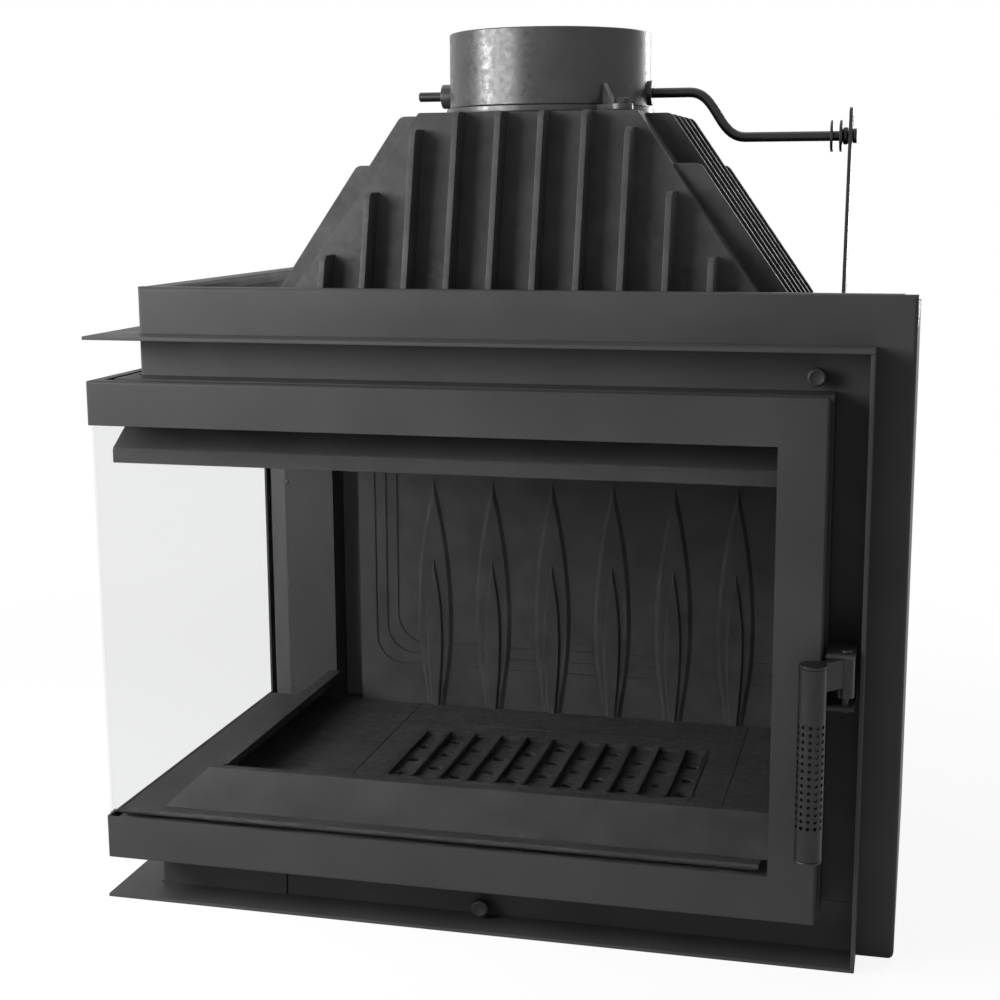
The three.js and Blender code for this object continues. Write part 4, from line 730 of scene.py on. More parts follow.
# ---- Casing -----------------------------------------------------------------------------------------


@dataclass
class Casing:
    """The sheet-steel casing and its masking flange."""

    fitter: Fitter
    sheet_edge: float = 0.0006

    def build(self) -> None:
        """Builds the casing's pieces."""
        walls = ("front_plate", "left_wall", "right_wall", "rear_wall")
        for node in (*walls, "flange_top", "flange_bottom", "flange_right", "lower_front_panel"):
            self.fitter.soften(node, PAINT, Body.CASING, self.sheet_edge)
        for node in ("base_pan", "hearth_ceiling"):
            self.fitter.dress(node, PAINT)


# a domed screw head with a recess, in shares of its radius and of its height
DOME_PROFILE = ((0, 0), (1, 0), (0.97, 0.35), (0.82, 0.75), (0.6, 0.95), (0.35, 1), (0.2975, 0.45), (0, 0.4))


def dome_screw(bm: Mesh, axis: Axis, seat: Vector, radius: float, height: float) -> None:
    """Adds a domed screw head with a recess.

    Args:
        bm: The mesh.
        axis: The screw's axis.
        seat: The middle of the face that it sits on.
        radius: The head's radius.
        height: The head's height along the axis, negative where it points the other way.
    """
    profile = [(across * radius, up * height) for across, up in DOME_PROFILE]
    revolve(bm, profile, axis, seat, sides=20)


# ---- Hearth -----------------------------------------------------------------------------------------


@dataclass
class Hearth:
    """The cast floor, grate, lining, baffle and log guard, with the sheets and the post round them."""

    fitter: Fitter
    sheet_edge: float = 0.0006
    cast_edge: float = 0.0012
    guard_edge: float = 0.0022
    pan_edge: float = 0.0004
    grate_corner: float = 0.003
    grate_ledge: float = 0.006
    grate_edge: float = 0.0008
    bed_corner: float = 0.006
    rib_count: int = 10
    rib_pitch: float = 0.0298
    rib_width: float = 0.007
    rib_rise: float = 0.0015
    rib_edge: float = 0.0012
    rib_end_flat: float = 0.0002
    channel_depth: float = 0.0045
    hole_radius: float = 0.0065
    hole_rows: int = 3
    hole_pitch: float = 0.043
    hole_stagger: float = 0.022
    post_screw_heights: tuple[float, ...] = (0.1125, 0.235, 0.359, 0.455)
    post_screw_inset: float = 0.0032
    post_screw_radius: float = 0.0022
    post_screw_rise: float = 0.0012
    bar_edge: float = 0.001

    def build(self) -> None:
        """Builds the hearth's pieces."""
        # the floor, lining, baffle and guard wear the hearth iron darkened as painted shade
        floors = ("floor_left", "floor_right", "floor_front", "floor_rear", "floor_centre")
        for node in (*floors, "right_lining", "baffle"):
            self.fitter.soften(node, HEARTH_IRON, Body.CASING, self.cast_edge)
        self.fitter.soften("log_guard", HEARTH_IRON, Body.CASING, self.guard_edge, segments=3, turn=25)
        # these sheets inside the firebox wear the stove paint darkened as painted shade
        for node in ("sill_plate", "rear_left_post", "smoke_deflector"):
            self.fitter.soften(node, SHADED_HEARTH_PAINT, Body.CASING, self.sheet_edge)
        for node in ("hearth_sheet", "hearth_side_wall"):
            self.fitter.dress(node, SHADED_HEARTH_PAINT)
        for node in ("ash_pan", "air_duct"):
            self.fitter.soften(node, STEEL, Body.CASING, self.pan_edge)
        self.grate()
        self.bar()
        self.post_screws()

    def grate_holes(self) -> list[Outline]:
        """Returns the outlines of the grate's holes, in staggered rows between its ribs."""
        holes = []
        for column in range(self.rib_count + 1):
            u = (column - self.rib_count / 2) * self.rib_pitch
            shift = self.hole_stagger / 2 if column % 2 else -self.hole_stagger / 2
            for line in range(self.hole_rows):
                v = (line - (self.hole_rows - 1) / 2) * self.hole_pitch + shift
                holes.append([(u + a, v + b) for a, b in ring_points(self.hole_radius, sides=24)])
        return holes

    def grate(self) -> None:
        """Builds the ash grate: a rim round a sunk, pierced bed with rounded ribs that rise from it."""
        low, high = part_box("ash_grate")
        centre = middle("ash_grate")
        half_u, half_v = (high.x - low.x) / 2, (high.y - low.y) / 2
        top = high.z - self.rib_rise
        bed = top - self.channel_depth
        rib_half_length = half_v - self.grate_ledge
        bed_half_width = (self.rib_count + 1) / 2 * self.rib_pitch
        bm = bmesh.new()
        outline = round_rectangle(half_u, half_v, self.grate_corner)
        sunk = round_rectangle(bed_half_width, rib_half_length, self.bed_corner)
        for shape, holes, bottom, upper in (
            (outline, [sunk], bed, top),
            (outline, self.grate_holes(), low.z, bed),
        ):
            place = Axis.Z.matrix(Vector((centre.x, centre.y, (bottom + upper) / 2)))
            cut_plate(bm, shape, holes, upper - bottom, self.grate_edge, place)
        for rib in range(self.rib_count):
            u = (rib - (self.rib_count - 1) / 2) * self.rib_pitch
            half = self.rib_width / 2
            slab = round_rectangle(half, rib_half_length, half - self.rib_end_flat)
            seat = Axis.Z.matrix(Vector((centre.x + u, centre.y, (bed + high.z) / 2)))
            cut_plate(bm, slab, (), high.z - bed, self.rib_edge, seat)
        self.fitter.fit("ash_grate_pierced", bm, HEARTH_IRON, Body.CASING, "ash_grate")

    def bar(self) -> None:
        """Builds the round bar under the baffle."""
        low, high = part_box("baffle_bar")
        radius = (high.z - low.z) / 2
        origin = Vector((0, (low.y + high.y) / 2, (low.z + high.z) / 2))
        bm = bmesh.new()
        revolve(bm, rounded_bar(radius, low.x, high.x, self.bar_edge), Axis.X, origin, sides=32)
        self.fitter.fit("baffle_bar_round", bm, STEEL, Body.CASING, "baffle_bar")

    def post_screws(self) -> None:
        """Sets the small screws that hold the rear-left post."""
        low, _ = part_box("rear_left_post")
        bm = bmesh.new()
        for z in self.post_screw_heights:
            seat = Vector((low.x + self.post_screw_inset, low.y, z))
            dome_screw(bm, Axis.Y, seat, self.post_screw_radius, self.post_screw_rise)
        self.fitter.fit("post_screws", bm, BLACKED, Body.CASING)


@dataclass(frozen=True)
class Leaf:
    """A pointed leaf in relief: how it swells from its foot to its belly and runs out to its tip."""

    tip: float
    belly: float
    half_width: float
    foot_half_width: float
    flank: float
    foot: float = 0.0973
    relief: float = 0.003
    foot_pull: float = 0.4
    belly_pull: float = 0.45
    tip_pull: float = 0.25
    tip_share: float = 0.42
    steps: int = 14

    def edge(self) -> Outline:
        """Returns the leaf's right edge as (half-width, height), from the foot to the tip."""
        drop, rise = self.belly - self.foot, self.tip - self.belly
        swell = self.half_width - self.foot_half_width
        under = (
            (self.foot_half_width, self.foot),
            (self.foot_half_width + swell / 2, self.foot + self.foot_pull * drop),
            (self.half_width, self.belly - self.belly_pull * drop),
            (self.half_width, self.belly),
        )
        over = (
            (self.half_width, self.belly),
            (self.half_width, self.belly + self.belly_pull * rise),
            (self.tip_share * self.half_width, self.tip - self.tip_pull * rise),
            (0.0, self.tip),
        )
        lower = [bezier(under, i / self.steps) for i in range(self.steps)]
        upper = [bezier(over, i / self.steps) for i in range(self.steps + 1)]
        return lower + upper

    def raise_on(self, bm: Mesh, x: float, face: float) -> None:
        """Adds the leaf to a mesh: a flat back in the face that it stands on, and sloping flanks.

        Args:
            bm: The mesh.
            x: The leaf's middle.
            face: The face's depth.
        """
        root = face + self.relief / 2
        rings = []
        for w, z in self.edge()[:-1]:
            ridge = max(w - self.flank, 0.0)
            top = face - self.relief * min(1.0, w / self.flank)
            section = ((-w, root), (-w, face), (-ridge, top), (ridge, top), (w, face), (w, root))
            rings.append([bm.verts.new((x + u, y, z)) for u, y in section])
        tip = bm.verts.new((x, face, self.tip))
        for low, high in zip(rings, rings[1:]):
            bridge(bm, low, high)
        bm.faces.new(rings[0])
        for i in range(len(rings[-1])):
            bm.faces.new((rings[-1][i], rings[-1][(i + 1) % len(rings[-1])], tip))


def bezier(points: tuple[Point, ...], t: float) -> Point:
    """Returns the point at t of a cubic curve through two ends and two pulls."""
    shares = ((1 - t) ** 3, 3 * t * (1 - t) ** 2, 3 * t * t * (1 - t), t**3)
    return tuple(sum(share * point[i] for share, point in zip(shares, points)) for i in (0, 1))


@dataclass
class BackPlate:
    """The cast back plate: a slab with bent grooves and a row of pointed leaves in relief."""

    fitter: Fitter
    leaf_count: int = 6
    leaf_pitch: float = 0.0708
    outer_leaf: Leaf = Leaf(tip=0.373, belly=0.206, half_width=0.0215, foot_half_width=0.011, flank=0.0042)
    inner_leaf: Leaf = Leaf(tip=0.276, belly=0.18665, half_width=0.01, foot_half_width=0.0055, flank=0.0022)
    groove_count: int = 3
    groove_left: float = -0.25
    groove_bottom: float = 0.145
    groove_pitch: float = 0.0135
    groove_width: float = 0.0022
    groove_depth: float = 0.0016
    groove_bend: float = 0.034
    groove_edge: float = 0.0003
    bend_steps: int = 8
    corner: float = 0.004
    plate_edge: float = 0.001
    margin: float = 0.001

    def build(self) -> None:
        """Builds the plate."""
        low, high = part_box("back_plate")
        face = low.y + self.outer_leaf.relief + self.inner_leaf.relief
        centre = ((low.x + high.x) / 2, (low.z + high.z) / 2)
        half_width, half_height = (high.x - low.x) / 2, (high.z - low.z) / 2
        outline = round_rectangle(half_width, half_height, self.corner, centre)
        right, top = high.x - self.margin, high.z - self.margin
        grooves = [self.groove(i, right, top) for i in range(self.groove_count)]
        bm = bmesh.new()
        floor = face + self.groove_depth
        skin = (grooves, face, floor, self.groove_edge)
        slab = ((), floor, high.y, self.plate_edge)
        for holes, near, far, edge in (skin, slab):
            place = Axis.Y.matrix(Vector((0, (near + far) / 2, 0)))
            cut_plate(bm, outline, holes, far - near, edge, place)
        for i in range(self.leaf_count):
            x = (i - (self.leaf_count - 1) / 2) * self.leaf_pitch
            self.outer_leaf.raise_on(bm, x, face)
            self.inner_leaf.raise_on(bm, x, face - self.outer_leaf.relief)
        bmesh.ops.remove_doubles(bm, verts=bm.verts, dist=ONE_POINT)
        self.fitter.fit("back_plate_cast", bm, HEARTH_IRON, Body.CASING, "back_plate")

    def groove(self, index: int, right: float, top: float) -> Outline:
        """Returns the outline of a groove: down from the top, round a bend and along to the right.

        Args:
            index: Its place among the grooves, from the left.
            right: Where it ends on the right.
            top: Where it begins.

        Returns:
            The outline.
        """
        x = self.groove_left + index * self.groove_pitch
        z = self.groove_bottom + index * self.groove_pitch
        bend, width = self.groove_bend, self.groove_width
        turns = [math.pi * (1 + i / (2 * self.bend_steps)) for i in range(self.bend_steps + 1)]
        outer = [(x + bend + bend * math.cos(a), z + bend + bend * math.sin(a)) for a in turns]
        small = bend - width
        inner = [(x + bend + small * math.cos(a), z + bend + small * math.sin(a)) for a in reversed(turns)]
        return [(x, top), *outer, (right, z), (right, z + width), *inner, (x + width, top)]


# ---- Hood and flue collar ---------------------------------------------------------------------------


@dataclass
class Flue:
    """The ribbed hood, the collar ring with its lugs and bolts, and the flue collar."""

    fitter: Fitter
    hood_edge: float = 0.001
    collar_radius: float = 0.1
    collar_wall: float = 0.005
    ring_step: float = 0.0035
    ring_edge: float = 0.0008
    rim_edge: float = 0.0012
    boss_radius: float = 0.012
    boss_reach: Range = (0.011, 0.0035)
    boss_root: float = 0.0015
    boss_edge: float = 0.0008
    shaft_bore: float = 0.00535
    lug_radius: float = 0.129
    lug_angle: float = -46.5
    lug_half_width: float = 0.011
    web_height: float = 0.02
    web_thickness: float = 0.005
    web_top: float = 0.003
    web_edge: float = 0.0005
    bolt_radius: float = 0.004
    bolt_head: float = 0.005
    bolt_air: float = 0.0003
    lug_steps: int = 12
    arc_steps: int = 60
    sides: int = 128

    def build(self) -> None:
        """Builds the hood and the collar."""
        self.fitter.soften("hood", HOOD_IRON, Body.CASING, self.hood_edge, turn=30)
        self.ring()
        self.collar()
        self.bolts()

    def lug_frames(self) -> list[Matrix]:
        """Returns the turns about the flue axis that bring +X on to each lug."""
        return [Matrix.Rotation(math.radians(self.lug_angle + half), 4, "Z") for half in (0, 180)]

    def ring(self) -> None:
        """Builds the collar ring: a flat ring with two rounded lugs, each with a bolt hole."""
        low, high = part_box("collar_ring")
        outer = self.collar_radius + self.ring_step
        lug_half = math.asin(self.lug_half_width / outer)
        outline = []
        for half in (0, 180):
            towards = math.radians(self.lug_angle + half)
            for i in range(self.lug_steps + 1):
                angle = -math.pi / 2 + math.pi * i / self.lug_steps
                u = self.lug_radius + self.lug_half_width * math.cos(angle)
                v = self.lug_half_width * math.sin(angle)
                across = u * math.cos(towards) - v * math.sin(towards)
                along = u * math.sin(towards) + v * math.cos(towards)
                outline.append((across, along))
            for i in range(self.arc_steps + 1):
                angle = towards + lug_half + (math.pi - 2 * lug_half) * i / self.arc_steps
                outline.append((outer * math.cos(angle), outer * math.sin(angle)))
        holes = [ring_points(self.collar_radius - self.collar_wall, self.sides)]
        for turn in self.lug_frames():
            seat = turn @ Vector((self.lug_radius, 0, 0))
            hole = ring_points(self.bolt_radius + self.bolt_air, sides=20)
            holes.append([(seat.x + u, seat.y + v) for u, v in hole])
        bm = bmesh.new()
        place = Axis.Z.matrix(Vector((0, 0, (low.z + high.z) / 2)))
        cut_plate(bm, outline, holes, high.z - low.z, self.ring_edge, place)
        self.fitter.fit("collar_ring_lugged", bm, COLLAR_IRON, Body.CASING, "collar_ring")

    def collar(self) -> None:
        """Builds the collar: a smooth pipe with rounded rims, two shaft bosses and two webs."""
        low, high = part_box("flue_collar")
        shaft = middle("damper_shaft").y
        height = self.shaft_height()
        inner = self.collar_radius - self.collar_wall
        bm = bmesh.new()
        pipe = rounded_bar(self.collar_radius, low.z, high.z, self.rim_edge, inner)
        revolve(bm, pipe, Axis.Z, Vector((0, 0, 0)), self.sides)
        for sign, reach in zip((-1, 1), self.boss_reach):
            near, far = sorted((sign * (inner + self.boss_root), sign * (self.collar_radius + reach)))
            boss = rounded_bar(self.boss_radius, near, far, self.boss_edge, self.shaft_bore)
            revolve(bm, boss, Axis.X, Vector((0, shaft, height)), sides=40)
        root = self.collar_radius - self.collar_wall / 2
        reach = self.lug_radius - self.lug_half_width
        top = self.web_height
        web = [(root, 0), (reach, 0), (root + self.web_top, top), (root, top)]
        for turn in self.lug_frames():
            place = turn @ Axis.Y.matrix(Vector((0, 0, low.z)))
            cut_plate(bm, web, (), self.web_thickness, self.web_edge, place)
        self.fitter.fit("flue_collar_smooth", bm, COLLAR_IRON, Body.CASING, "flue_collar")

    @staticmethod
    def shaft_height() -> float:
        """Returns the height of the damper shaft's axis, a radius below its highest point."""
        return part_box("damper_shaft")[1].z - Damper.shaft_radius

    def bolts(self) -> None:
        """Builds the two hexagon bolts through the lugs, with a washer face under each head."""
        for name in ("collar_bolt_front", "collar_bolt_rear"):
            low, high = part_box(name)
            seat = high.z - self.bolt_head
            bolt = hexagon_bolt(on_axis(name), low.z, seat, high.z, self.bolt_radius)
            self.fitter.fit(f"{name}_hexagon", bolt, BLACKED, Body.CASING, name)


# a hexagon bolt's proportions
HEAD_TO_SHANK = 1.75
FLATS_TO_CORNERS = 0.866
WASHER_TO_FLATS = 0.95
LEDGE_SHARE = 0.08
CHAMFER_SHARE = 0.14
CROWN_SHARE = 0.86


def hexagon_bolt(origin: Vector, foot: float, seat: float, top: float, shank: float) -> Mesh:
    """Builds an upright hexagon bolt: a shank, a thin washer face and a head with a chamfered top.

    Args:
        origin: The point of its axis at height zero.
        foot: The height of the shank's end.
        seat: The height of the head's underside.
        top: The height of the head's top.
        shank: The shank's radius.

    Returns:
        The mesh.
    """
    bm = bmesh.new()
    revolve(bm, [(0, foot), (shank, foot), (shank, seat), (0, seat)], Axis.Z, origin, sides=24)
    head = HEAD_TO_SHANK * shank
    height = top - seat
    washer = WASHER_TO_FLATS * head * FLATS_TO_CORNERS
    ledge = seat + LEDGE_SHARE * height
    chamfer = top - CHAMFER_SHARE * height
    revolve(bm, [(0, seat), (washer, seat), (washer, ledge), (0, ledge)], Axis.Z, origin, sides=24)
    crown = CROWN_SHARE * head
    hexagon = [(0, ledge), (head, ledge), (head, chamfer), (crown, top), (0, top)]
    revolve(bm, hexagon, Axis.Z, origin, sides=6)
    return bm


# ---- Door -------------------------------------------------------------------------------------------


@dataclass
class Door:
    """The L-shaped door: its frame, its folded cover, two panes and the sealing rope."""

    fitter: Fitter
    frame_edge: float = 0.0007
    pane_edge: float = 0.0006
    rope_radius: float = 0.0035
    rope_sides: int = 16
    rope_bend: float = 0.006
    cover_edge: float = 0.0005
    bracket_edge: float = 0.0006
    pin_head_height: float = 0.004
    pin_head_edge: float = 0.0012
    pin_edge: float = 0.0008
    head_to_shank: float = 1.5

    def build(self) -> None:
        """Builds the door's pieces."""
        self.fitter.soften("door_frame", DOOR_PAINT, Body.DOOR, self.frame_edge)
        self.fitter.soften("door_cover", DOOR_PAINT, Body.DOOR, self.cover_edge)
        for node in ("front_glass", "side_glass"):
            self.fitter.soften(node, GLASS, Body.DOOR, self.pane_edge)
        self.rope()
        self.hinges()

    def rope(self) -> None:
        """Builds the sealing rope: one round rope in its channel, round both openings of the door."""
        low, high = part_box("rope_seal")
        r = self.rope_radius
        side, front = low.x + r, low.y + r
        bottom, top = low.z + r, high.z - r
        right, rear = high.x - r, high.y - r
        lower = [(right, front, bottom), (side, front, bottom), (side, rear, bottom)]
        upper = [(x, y, top) for x, y, _ in reversed(lower)]
        corners = [*lower, *upper]
        path = rounded_loop([Vector(c) for c in corners], self.rope_bend)
        bm = bmesh.new()
        sweep(bm, [*path, path[0]], r, self.rope_sides, r / 8)
        self.fitter.fit("rope_seal_round", bm, ROPE, Body.DOOR, "rope_seal")

    def hinges(self) -> None:
        """Builds the hinge pins with domed heads, and dresses their brackets."""
        for node in ("hinge_bracket_upper", "hinge_bracket_lower"):
            self.fitter.soften(node, PAINT, Body.CASING, self.bracket_edge)
        for name, up in (("hinge_pin_upper", True), ("hinge_pin_lower", False)):
            low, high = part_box(name)
            centre = on_axis(name)
            head = (high.x - low.x) / 2
            shank = head / self.head_to_shank
            seat = high.z - self.pin_head_height if up else low.z + self.pin_head_height
            spans = ((seat, high.z), (low.z, seat)) if up else ((low.z, seat), (seat, high.z))
            cap = rounded_bar(head, *spans[0], self.pin_head_edge)
            pin = rounded_bar(shank, *spans[1], self.pin_edge)
            parts = [(cap, Axis.Z, centre), (pin, Axis.Z, centre)]
            self.fitter.turned(name, parts, BLACKED, Body.CASING, sides=32)


def rounded_loop(corners: list[Vector], radius: float, steps: int = 5) -> list[Vector]:
    """Returns a closed path through corners, each rounded.

    Args:
        corners: The corners in order.
        radius: How far from each corner its bend begins.
        steps: Points in a bend.

    Returns:
        The path's points.
    """
    path = []
    for i, corner in enumerate(corners):
        back = (corners[i - 1] - corner).normalized() * radius
        on = (corners[(i + 1) % len(corners)] - corner).normalized() * radius
        for k in range(steps + 1):
            t = k / steps
            path.append(corner + back * (1 - t) ** 2 + on * t**2)
    return path


# ---- Latch handle -----------------------------------------------------------------------------------


@dataclass
class Handle:
    """The latch: bracket and pin on the door, and the arm with its pierced tube and long bolt."""

    fitter: Fitter
    wall: float = 0.0015
    hole_radius: float = 0.0017
    hole_columns: int = 12
    hole_rows: int = 15
    hole_pitch: float = 0.00653
    lowest_hole: float = 0.1548
    hole_sides: int = 16
    bracket_edge: float = 0.0005
    arm_edge: float = 0.0006
    pin_head_height: float = 0.003
    pin_head_edge: float = 0.001
    pin_edge: float = 0.0006
    head_to_shank: float = 1.6
    cap_height: float = 0.003
    cap_edge: float = 0.0014
    bolt_radius: float = 0.004
    bolt_edge: float = 0.0006

    def build(self) -> None:
        """Builds the latch's pieces."""
        self.fitter.soften("handle_bracket", DOOR_PAINT, Body.DOOR, self.bracket_edge)
        self.fitter.soften("latch_arm", HANDLE_STEEL, Body.HANDLE, self.arm_edge)
        self.pin()
        self.tube()
        self.bolt()

    def pin(self) -> None:
        """Builds the pin that the latch turns on."""
        low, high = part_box("latch_pin")
        head = (high.x - low.x) / 2
        seat = high.z - self.pin_head_height
        centre = on_axis("latch_pin")
        parts = [
            (rounded_bar(head / self.head_to_shank, low.z, seat, self.pin_edge), Axis.Z, centre),
            (rounded_bar(head, seat, high.z, self.pin_head_edge), Axis.Z, centre),
        ]
        self.fitter.turned("latch_pin", parts, BLACKED, Body.DOOR, sides=32)

    def tube(self) -> None:
        """Builds the tube, pierced by rows of round holes through its wall."""
        low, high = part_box("handle_tube")
        outer = (high.x - low.x) / 2
        shells = (outer, outer - self.wall)
        start = self.lowest_hole - self.hole_pitch / 2
        bm = bmesh.new()
        for line in range(self.hole_rows):
            for column in range(self.hole_columns):
                self.pierced_cell(bm, shells, column, start + (line + 0.5) * self.hole_pitch)
        self.plain_stretch(bm, shells, start, low.z)
        self.plain_stretch(bm, shells, start + self.hole_rows * self.hole_pitch, high.z)
        bmesh.ops.remove_doubles(bm, verts=bm.verts, dist=ONE_POINT)
        bmesh.ops.translate(bm, verts=bm.verts, vec=on_axis("handle_tube"))
        self.fitter.fit("handle_tube_pierced", bm, HANDLE_STEEL, Body.HANDLE, "handle_tube")

    def square_turns(self) -> list[Triple]:
        """Returns each point round a cell as its cosine, its sine and how far it is drawn out to the rim."""
        turns = [math.pi / 4 + FULL_TURN * i / self.hole_sides for i in range(self.hole_sides)]
        return [(math.cos(a), math.sin(a), 1 / max(abs(math.cos(a)), abs(math.sin(a)))) for a in turns]

    def pierced_cell(self, bm: Mesh, shells: Range, column: int, z: float) -> None:
        """Adds one square of the tube's wall with a round hole through it.

        Args:
            bm: The mesh.
            shells: The wall's outer and inner radius.
            column: The square's place round the tube, counted from the front.
            z: The height of its middle.
        """
        step = FULL_TURN / self.hole_columns
        centre = column * step
        holes, rims = [], []
        for radius in shells:
            reach = self.hole_radius / radius
            half = self.hole_pitch / 2
            hole, rim = [], []
            for c, s, k in self.square_turns():
                hole.append(wrapped(radius, centre + reach * c, z + self.hole_radius * s))
                rim.append(wrapped(radius, centre + step / 2 * c * k, z + half * s * k))
            holes.append([bm.verts.new(point) for point in hole])
            rims.append([bm.verts.new(point) for point in rim])
        for hole, rim in zip(holes, rims):
            bridge(bm, hole, rim)
        bridge(bm, *holes)

    def plain_stretch(self, bm: Mesh, shells: Range, near: float, end: float) -> None:
        """Adds a plain stretch of the tube, in line with its squares, and closes the wall's free end.

        Args:
            bm: The mesh.
            shells: The wall's outer and inner radius.
            near: The height where it meets the squares.
            end: The height of its free end.
        """
        step = FULL_TURN / self.hole_columns
        corner = 1 - ONE_POINT
        upper = [c * k for c, s, k in self.square_turns() if s * k > corner and c * k > -corner]
        columns = range(self.hole_columns)
        angles = sorted(column * step + step / 2 * part for column in columns for part in upper)
        ends = [(radius, z) for radius in shells for z in (near, end)]
        rings = [[bm.verts.new(wrapped(radius, a, z)) for a in angles] for radius, z in ends]
        outer_near, outer_end, inner_near, inner_end = rings
        bridge(bm, outer_near, outer_end)
        bridge(bm, inner_near, inner_end)
        bridge(bm, outer_end, inner_end)

    def bolt(self) -> None:
        """Builds the long bolt inside the tube, with the rounded cap that closes its lower end."""
        low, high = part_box("handle_bolt")
        centre = on_axis("handle_bolt")
        seat = low.z + self.cap_height
        parts = [
            (rounded_bar((high.x - low.x) / 2, low.z, seat, self.cap_edge), Axis.Z, centre),
            (rounded_bar(self.bolt_radius, seat, high.z, self.bolt_edge), Axis.Z, centre),
        ]
        self.fitter.turned("handle_bolt", parts, HANDLE_STEEL, Body.HANDLE)


def wrapped(radius: float, angle: float, z: float) -> Vector:
    """Returns the point of an upright tube's wall at an angle from its front."""
    return Vector((radius * math.sin(angle), -radius * math.cos(angle), z))


# ---- Damper and controls ----------------------------------------------------------------------------


@dataclass
class Damper:
    """The butterfly damper, and the strap, rod and knob that pull its crank."""

    fitter: Fitter
    shaft_radius: float = 0.00475
    crank_start: float = 0.14
    crank_end: float = 0.195
    crank_steps: int = 24
    nub_radius: float = 0.007
    nub_width: float = 0.004
    strap_width: float = 0.026
    strap_lean: float = 14.0
    strap_end_radius: float = 0.007
    slot_half: float = 0.00655
    slot_rise: float = 0.022
    saddle_reach: float = 0.045
    rod_radius: float = 0.003
    pin_behind_rod: float = 0.0527
    shaft_edge: float = 0.0008
    disc_edge: float = 0.001
    screw_radius: float = 0.0055
    screw_drop: float = 0.003
    post_radius: float = 0.003
    post_root: float = 0.0005
    post_rise: float = 0.0015
    post_edge: float = 0.0004
    ring_air: float = 0.0002
    washer_edge: float = 0.0006
    nut_edge: float = 0.0019
    strap_edge: float = 0.0006
    slot_corner_share: float = 0.9
    rod_edge: float = 0.0006
    pin_edge: float = 0.0008
    guide_edge: float = 0.0005

    def build(self) -> None:
        """Builds the damper and its control."""
        self.shaft()
        self.disc()
        self.rings()
        self.strap()
        self.rod()
        self.fitter.soften("rod_guide", PAINT, Body.CASING, self.guide_edge)
        Knob(self.fitter).build("damper_knob", Body.DAMPER_CONTROL)

    def crank_height(self) -> float:
        """Returns the height of the crank's straight end."""
        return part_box("damper_shaft")[0].z + self.nub_radius

    def shaft(self) -> None:
        """Builds the shaft: straight through the collar, down in a smooth S and straight to its nub."""
        low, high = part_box("damper_shaft")
        top, bottom = high.z - self.shaft_radius, self.crank_height()
        between = (self.crank_start + self.crank_end) / 2
        path = [Vector((low.x, 0, top))]
        for i in range(self.crank_steps + 1):
            t = i / self.crank_steps
            x = (1 - t) ** 3 * self.crank_start + 3 * t * (1 - t) * between + t**3 * self.crank_end
            z = top + (bottom - top) * t * t * (3 - 2 * t)
            path.append(Vector((x, 0, z)))
        path.append(Vector((high.x - self.nub_width, 0, bottom)))
        bm = bmesh.new()
        sweep(bm, path, self.shaft_radius, sides=28, edge=self.shaft_edge)
        nub = rounded_bar(self.nub_radius, high.x - self.nub_width, high.x, self.shaft_edge)
        revolve(bm, nub, Axis.X, Vector((0, 0, bottom)), sides=32)
        self.fitter.fit("damper_shaft_bent", bm, STEEL, Body.DAMPER, "damper_shaft")

    def disc(self) -> None:
        """Builds the disc with a rounded rim and the two screws that hold it on the shaft."""
        low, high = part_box("damper_disc")
        bm = bmesh.new()
        disc = rounded_bar((high.x - low.x) / 2, low.z, high.z, self.disc_edge)
        revolve(bm, disc, Axis.Z, Vector((0, 0, 0)), sides=96)
        root, crown = high.z - self.post_root, high.z + self.post_rise
        for x in (-self.saddle_reach, self.saddle_reach):
            dome_screw(bm, Axis.Z, Vector((x, 0, low.z)), self.screw_radius, -self.screw_drop)
            post = rounded_bar(self.post_radius, root, crown, self.post_edge)
            revolve(bm, post, Axis.Z, Vector((x, 0, 0)), sides=16)
        self.fitter.fit("damper_disc_round", bm, HOOD_IRON, Body.DAMPER, "damper_disc")

    def rings(self) -> None:
        """Builds the two washers and the nut on the crank's straight end."""
        origin = Vector((0, 0, self.crank_height()))
        bore = self.shaft_radius + self.ring_air
        for node, edge, finish in (
            ("crank_washer_inner", self.washer_edge, STEEL),
            ("crank_washer_outer", self.washer_edge, STEEL),
            ("crank_nut", self.nut_edge, BLACKED),
        ):
            low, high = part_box(node)
            profile = rounded_bar((high.y - low.y) / 2, low.x, high.x, edge, bore)
            self.fitter.turned(node, [(profile, Axis.X, origin)], finish, Body.DAMPER, sides=40)

    def strap(self) -> None:
        """Builds the slotted strap, which leans forward from the crank down to the rod."""
        low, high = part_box("damper_strap")
        height = self.crank_height()
        lean = math.tan(math.radians(self.strap_lean))

        def bar(bottom: float, top: float, half: float, radius: float) -> Outline:
            """Draws the outline of a leaning bar with rounded corners.

            Args:
                bottom: The height of its lower end.
                top: The height of its upper end.
                half: Half its width.
                radius: How far from each corner its rounding begins.

            Returns:
                The outline.
            """
            corners = [
                ((bottom - height) * lean - half, bottom),
                ((bottom - height) * lean + half, bottom),
                ((top - height) * lean + half, top),
                ((top - height) * lean - half, top),
            ]
            path = rounded_loop([Vector((u, v, 0)) for u, v in corners], radius)
            return [(point.x, point.y) for point in path]

        outline = bar(low.z, high.z, self.strap_width / 2, self.strap_end_radius)
        half = self.slot_half
        slot = bar(height - half, height + self.slot_rise, half, half * self.slot_corner_share)
        bm = bmesh.new()
        place = Axis.X.matrix(Vector(((low.x + high.x) / 2, 0, 0)))
        cut_plate(bm, outline, [slot], high.x - low.x, self.strap_edge, place)
        self.fitter.fit("damper_strap_slotted", bm, STEEL, Body.DAMPER_CONTROL, "damper_strap")

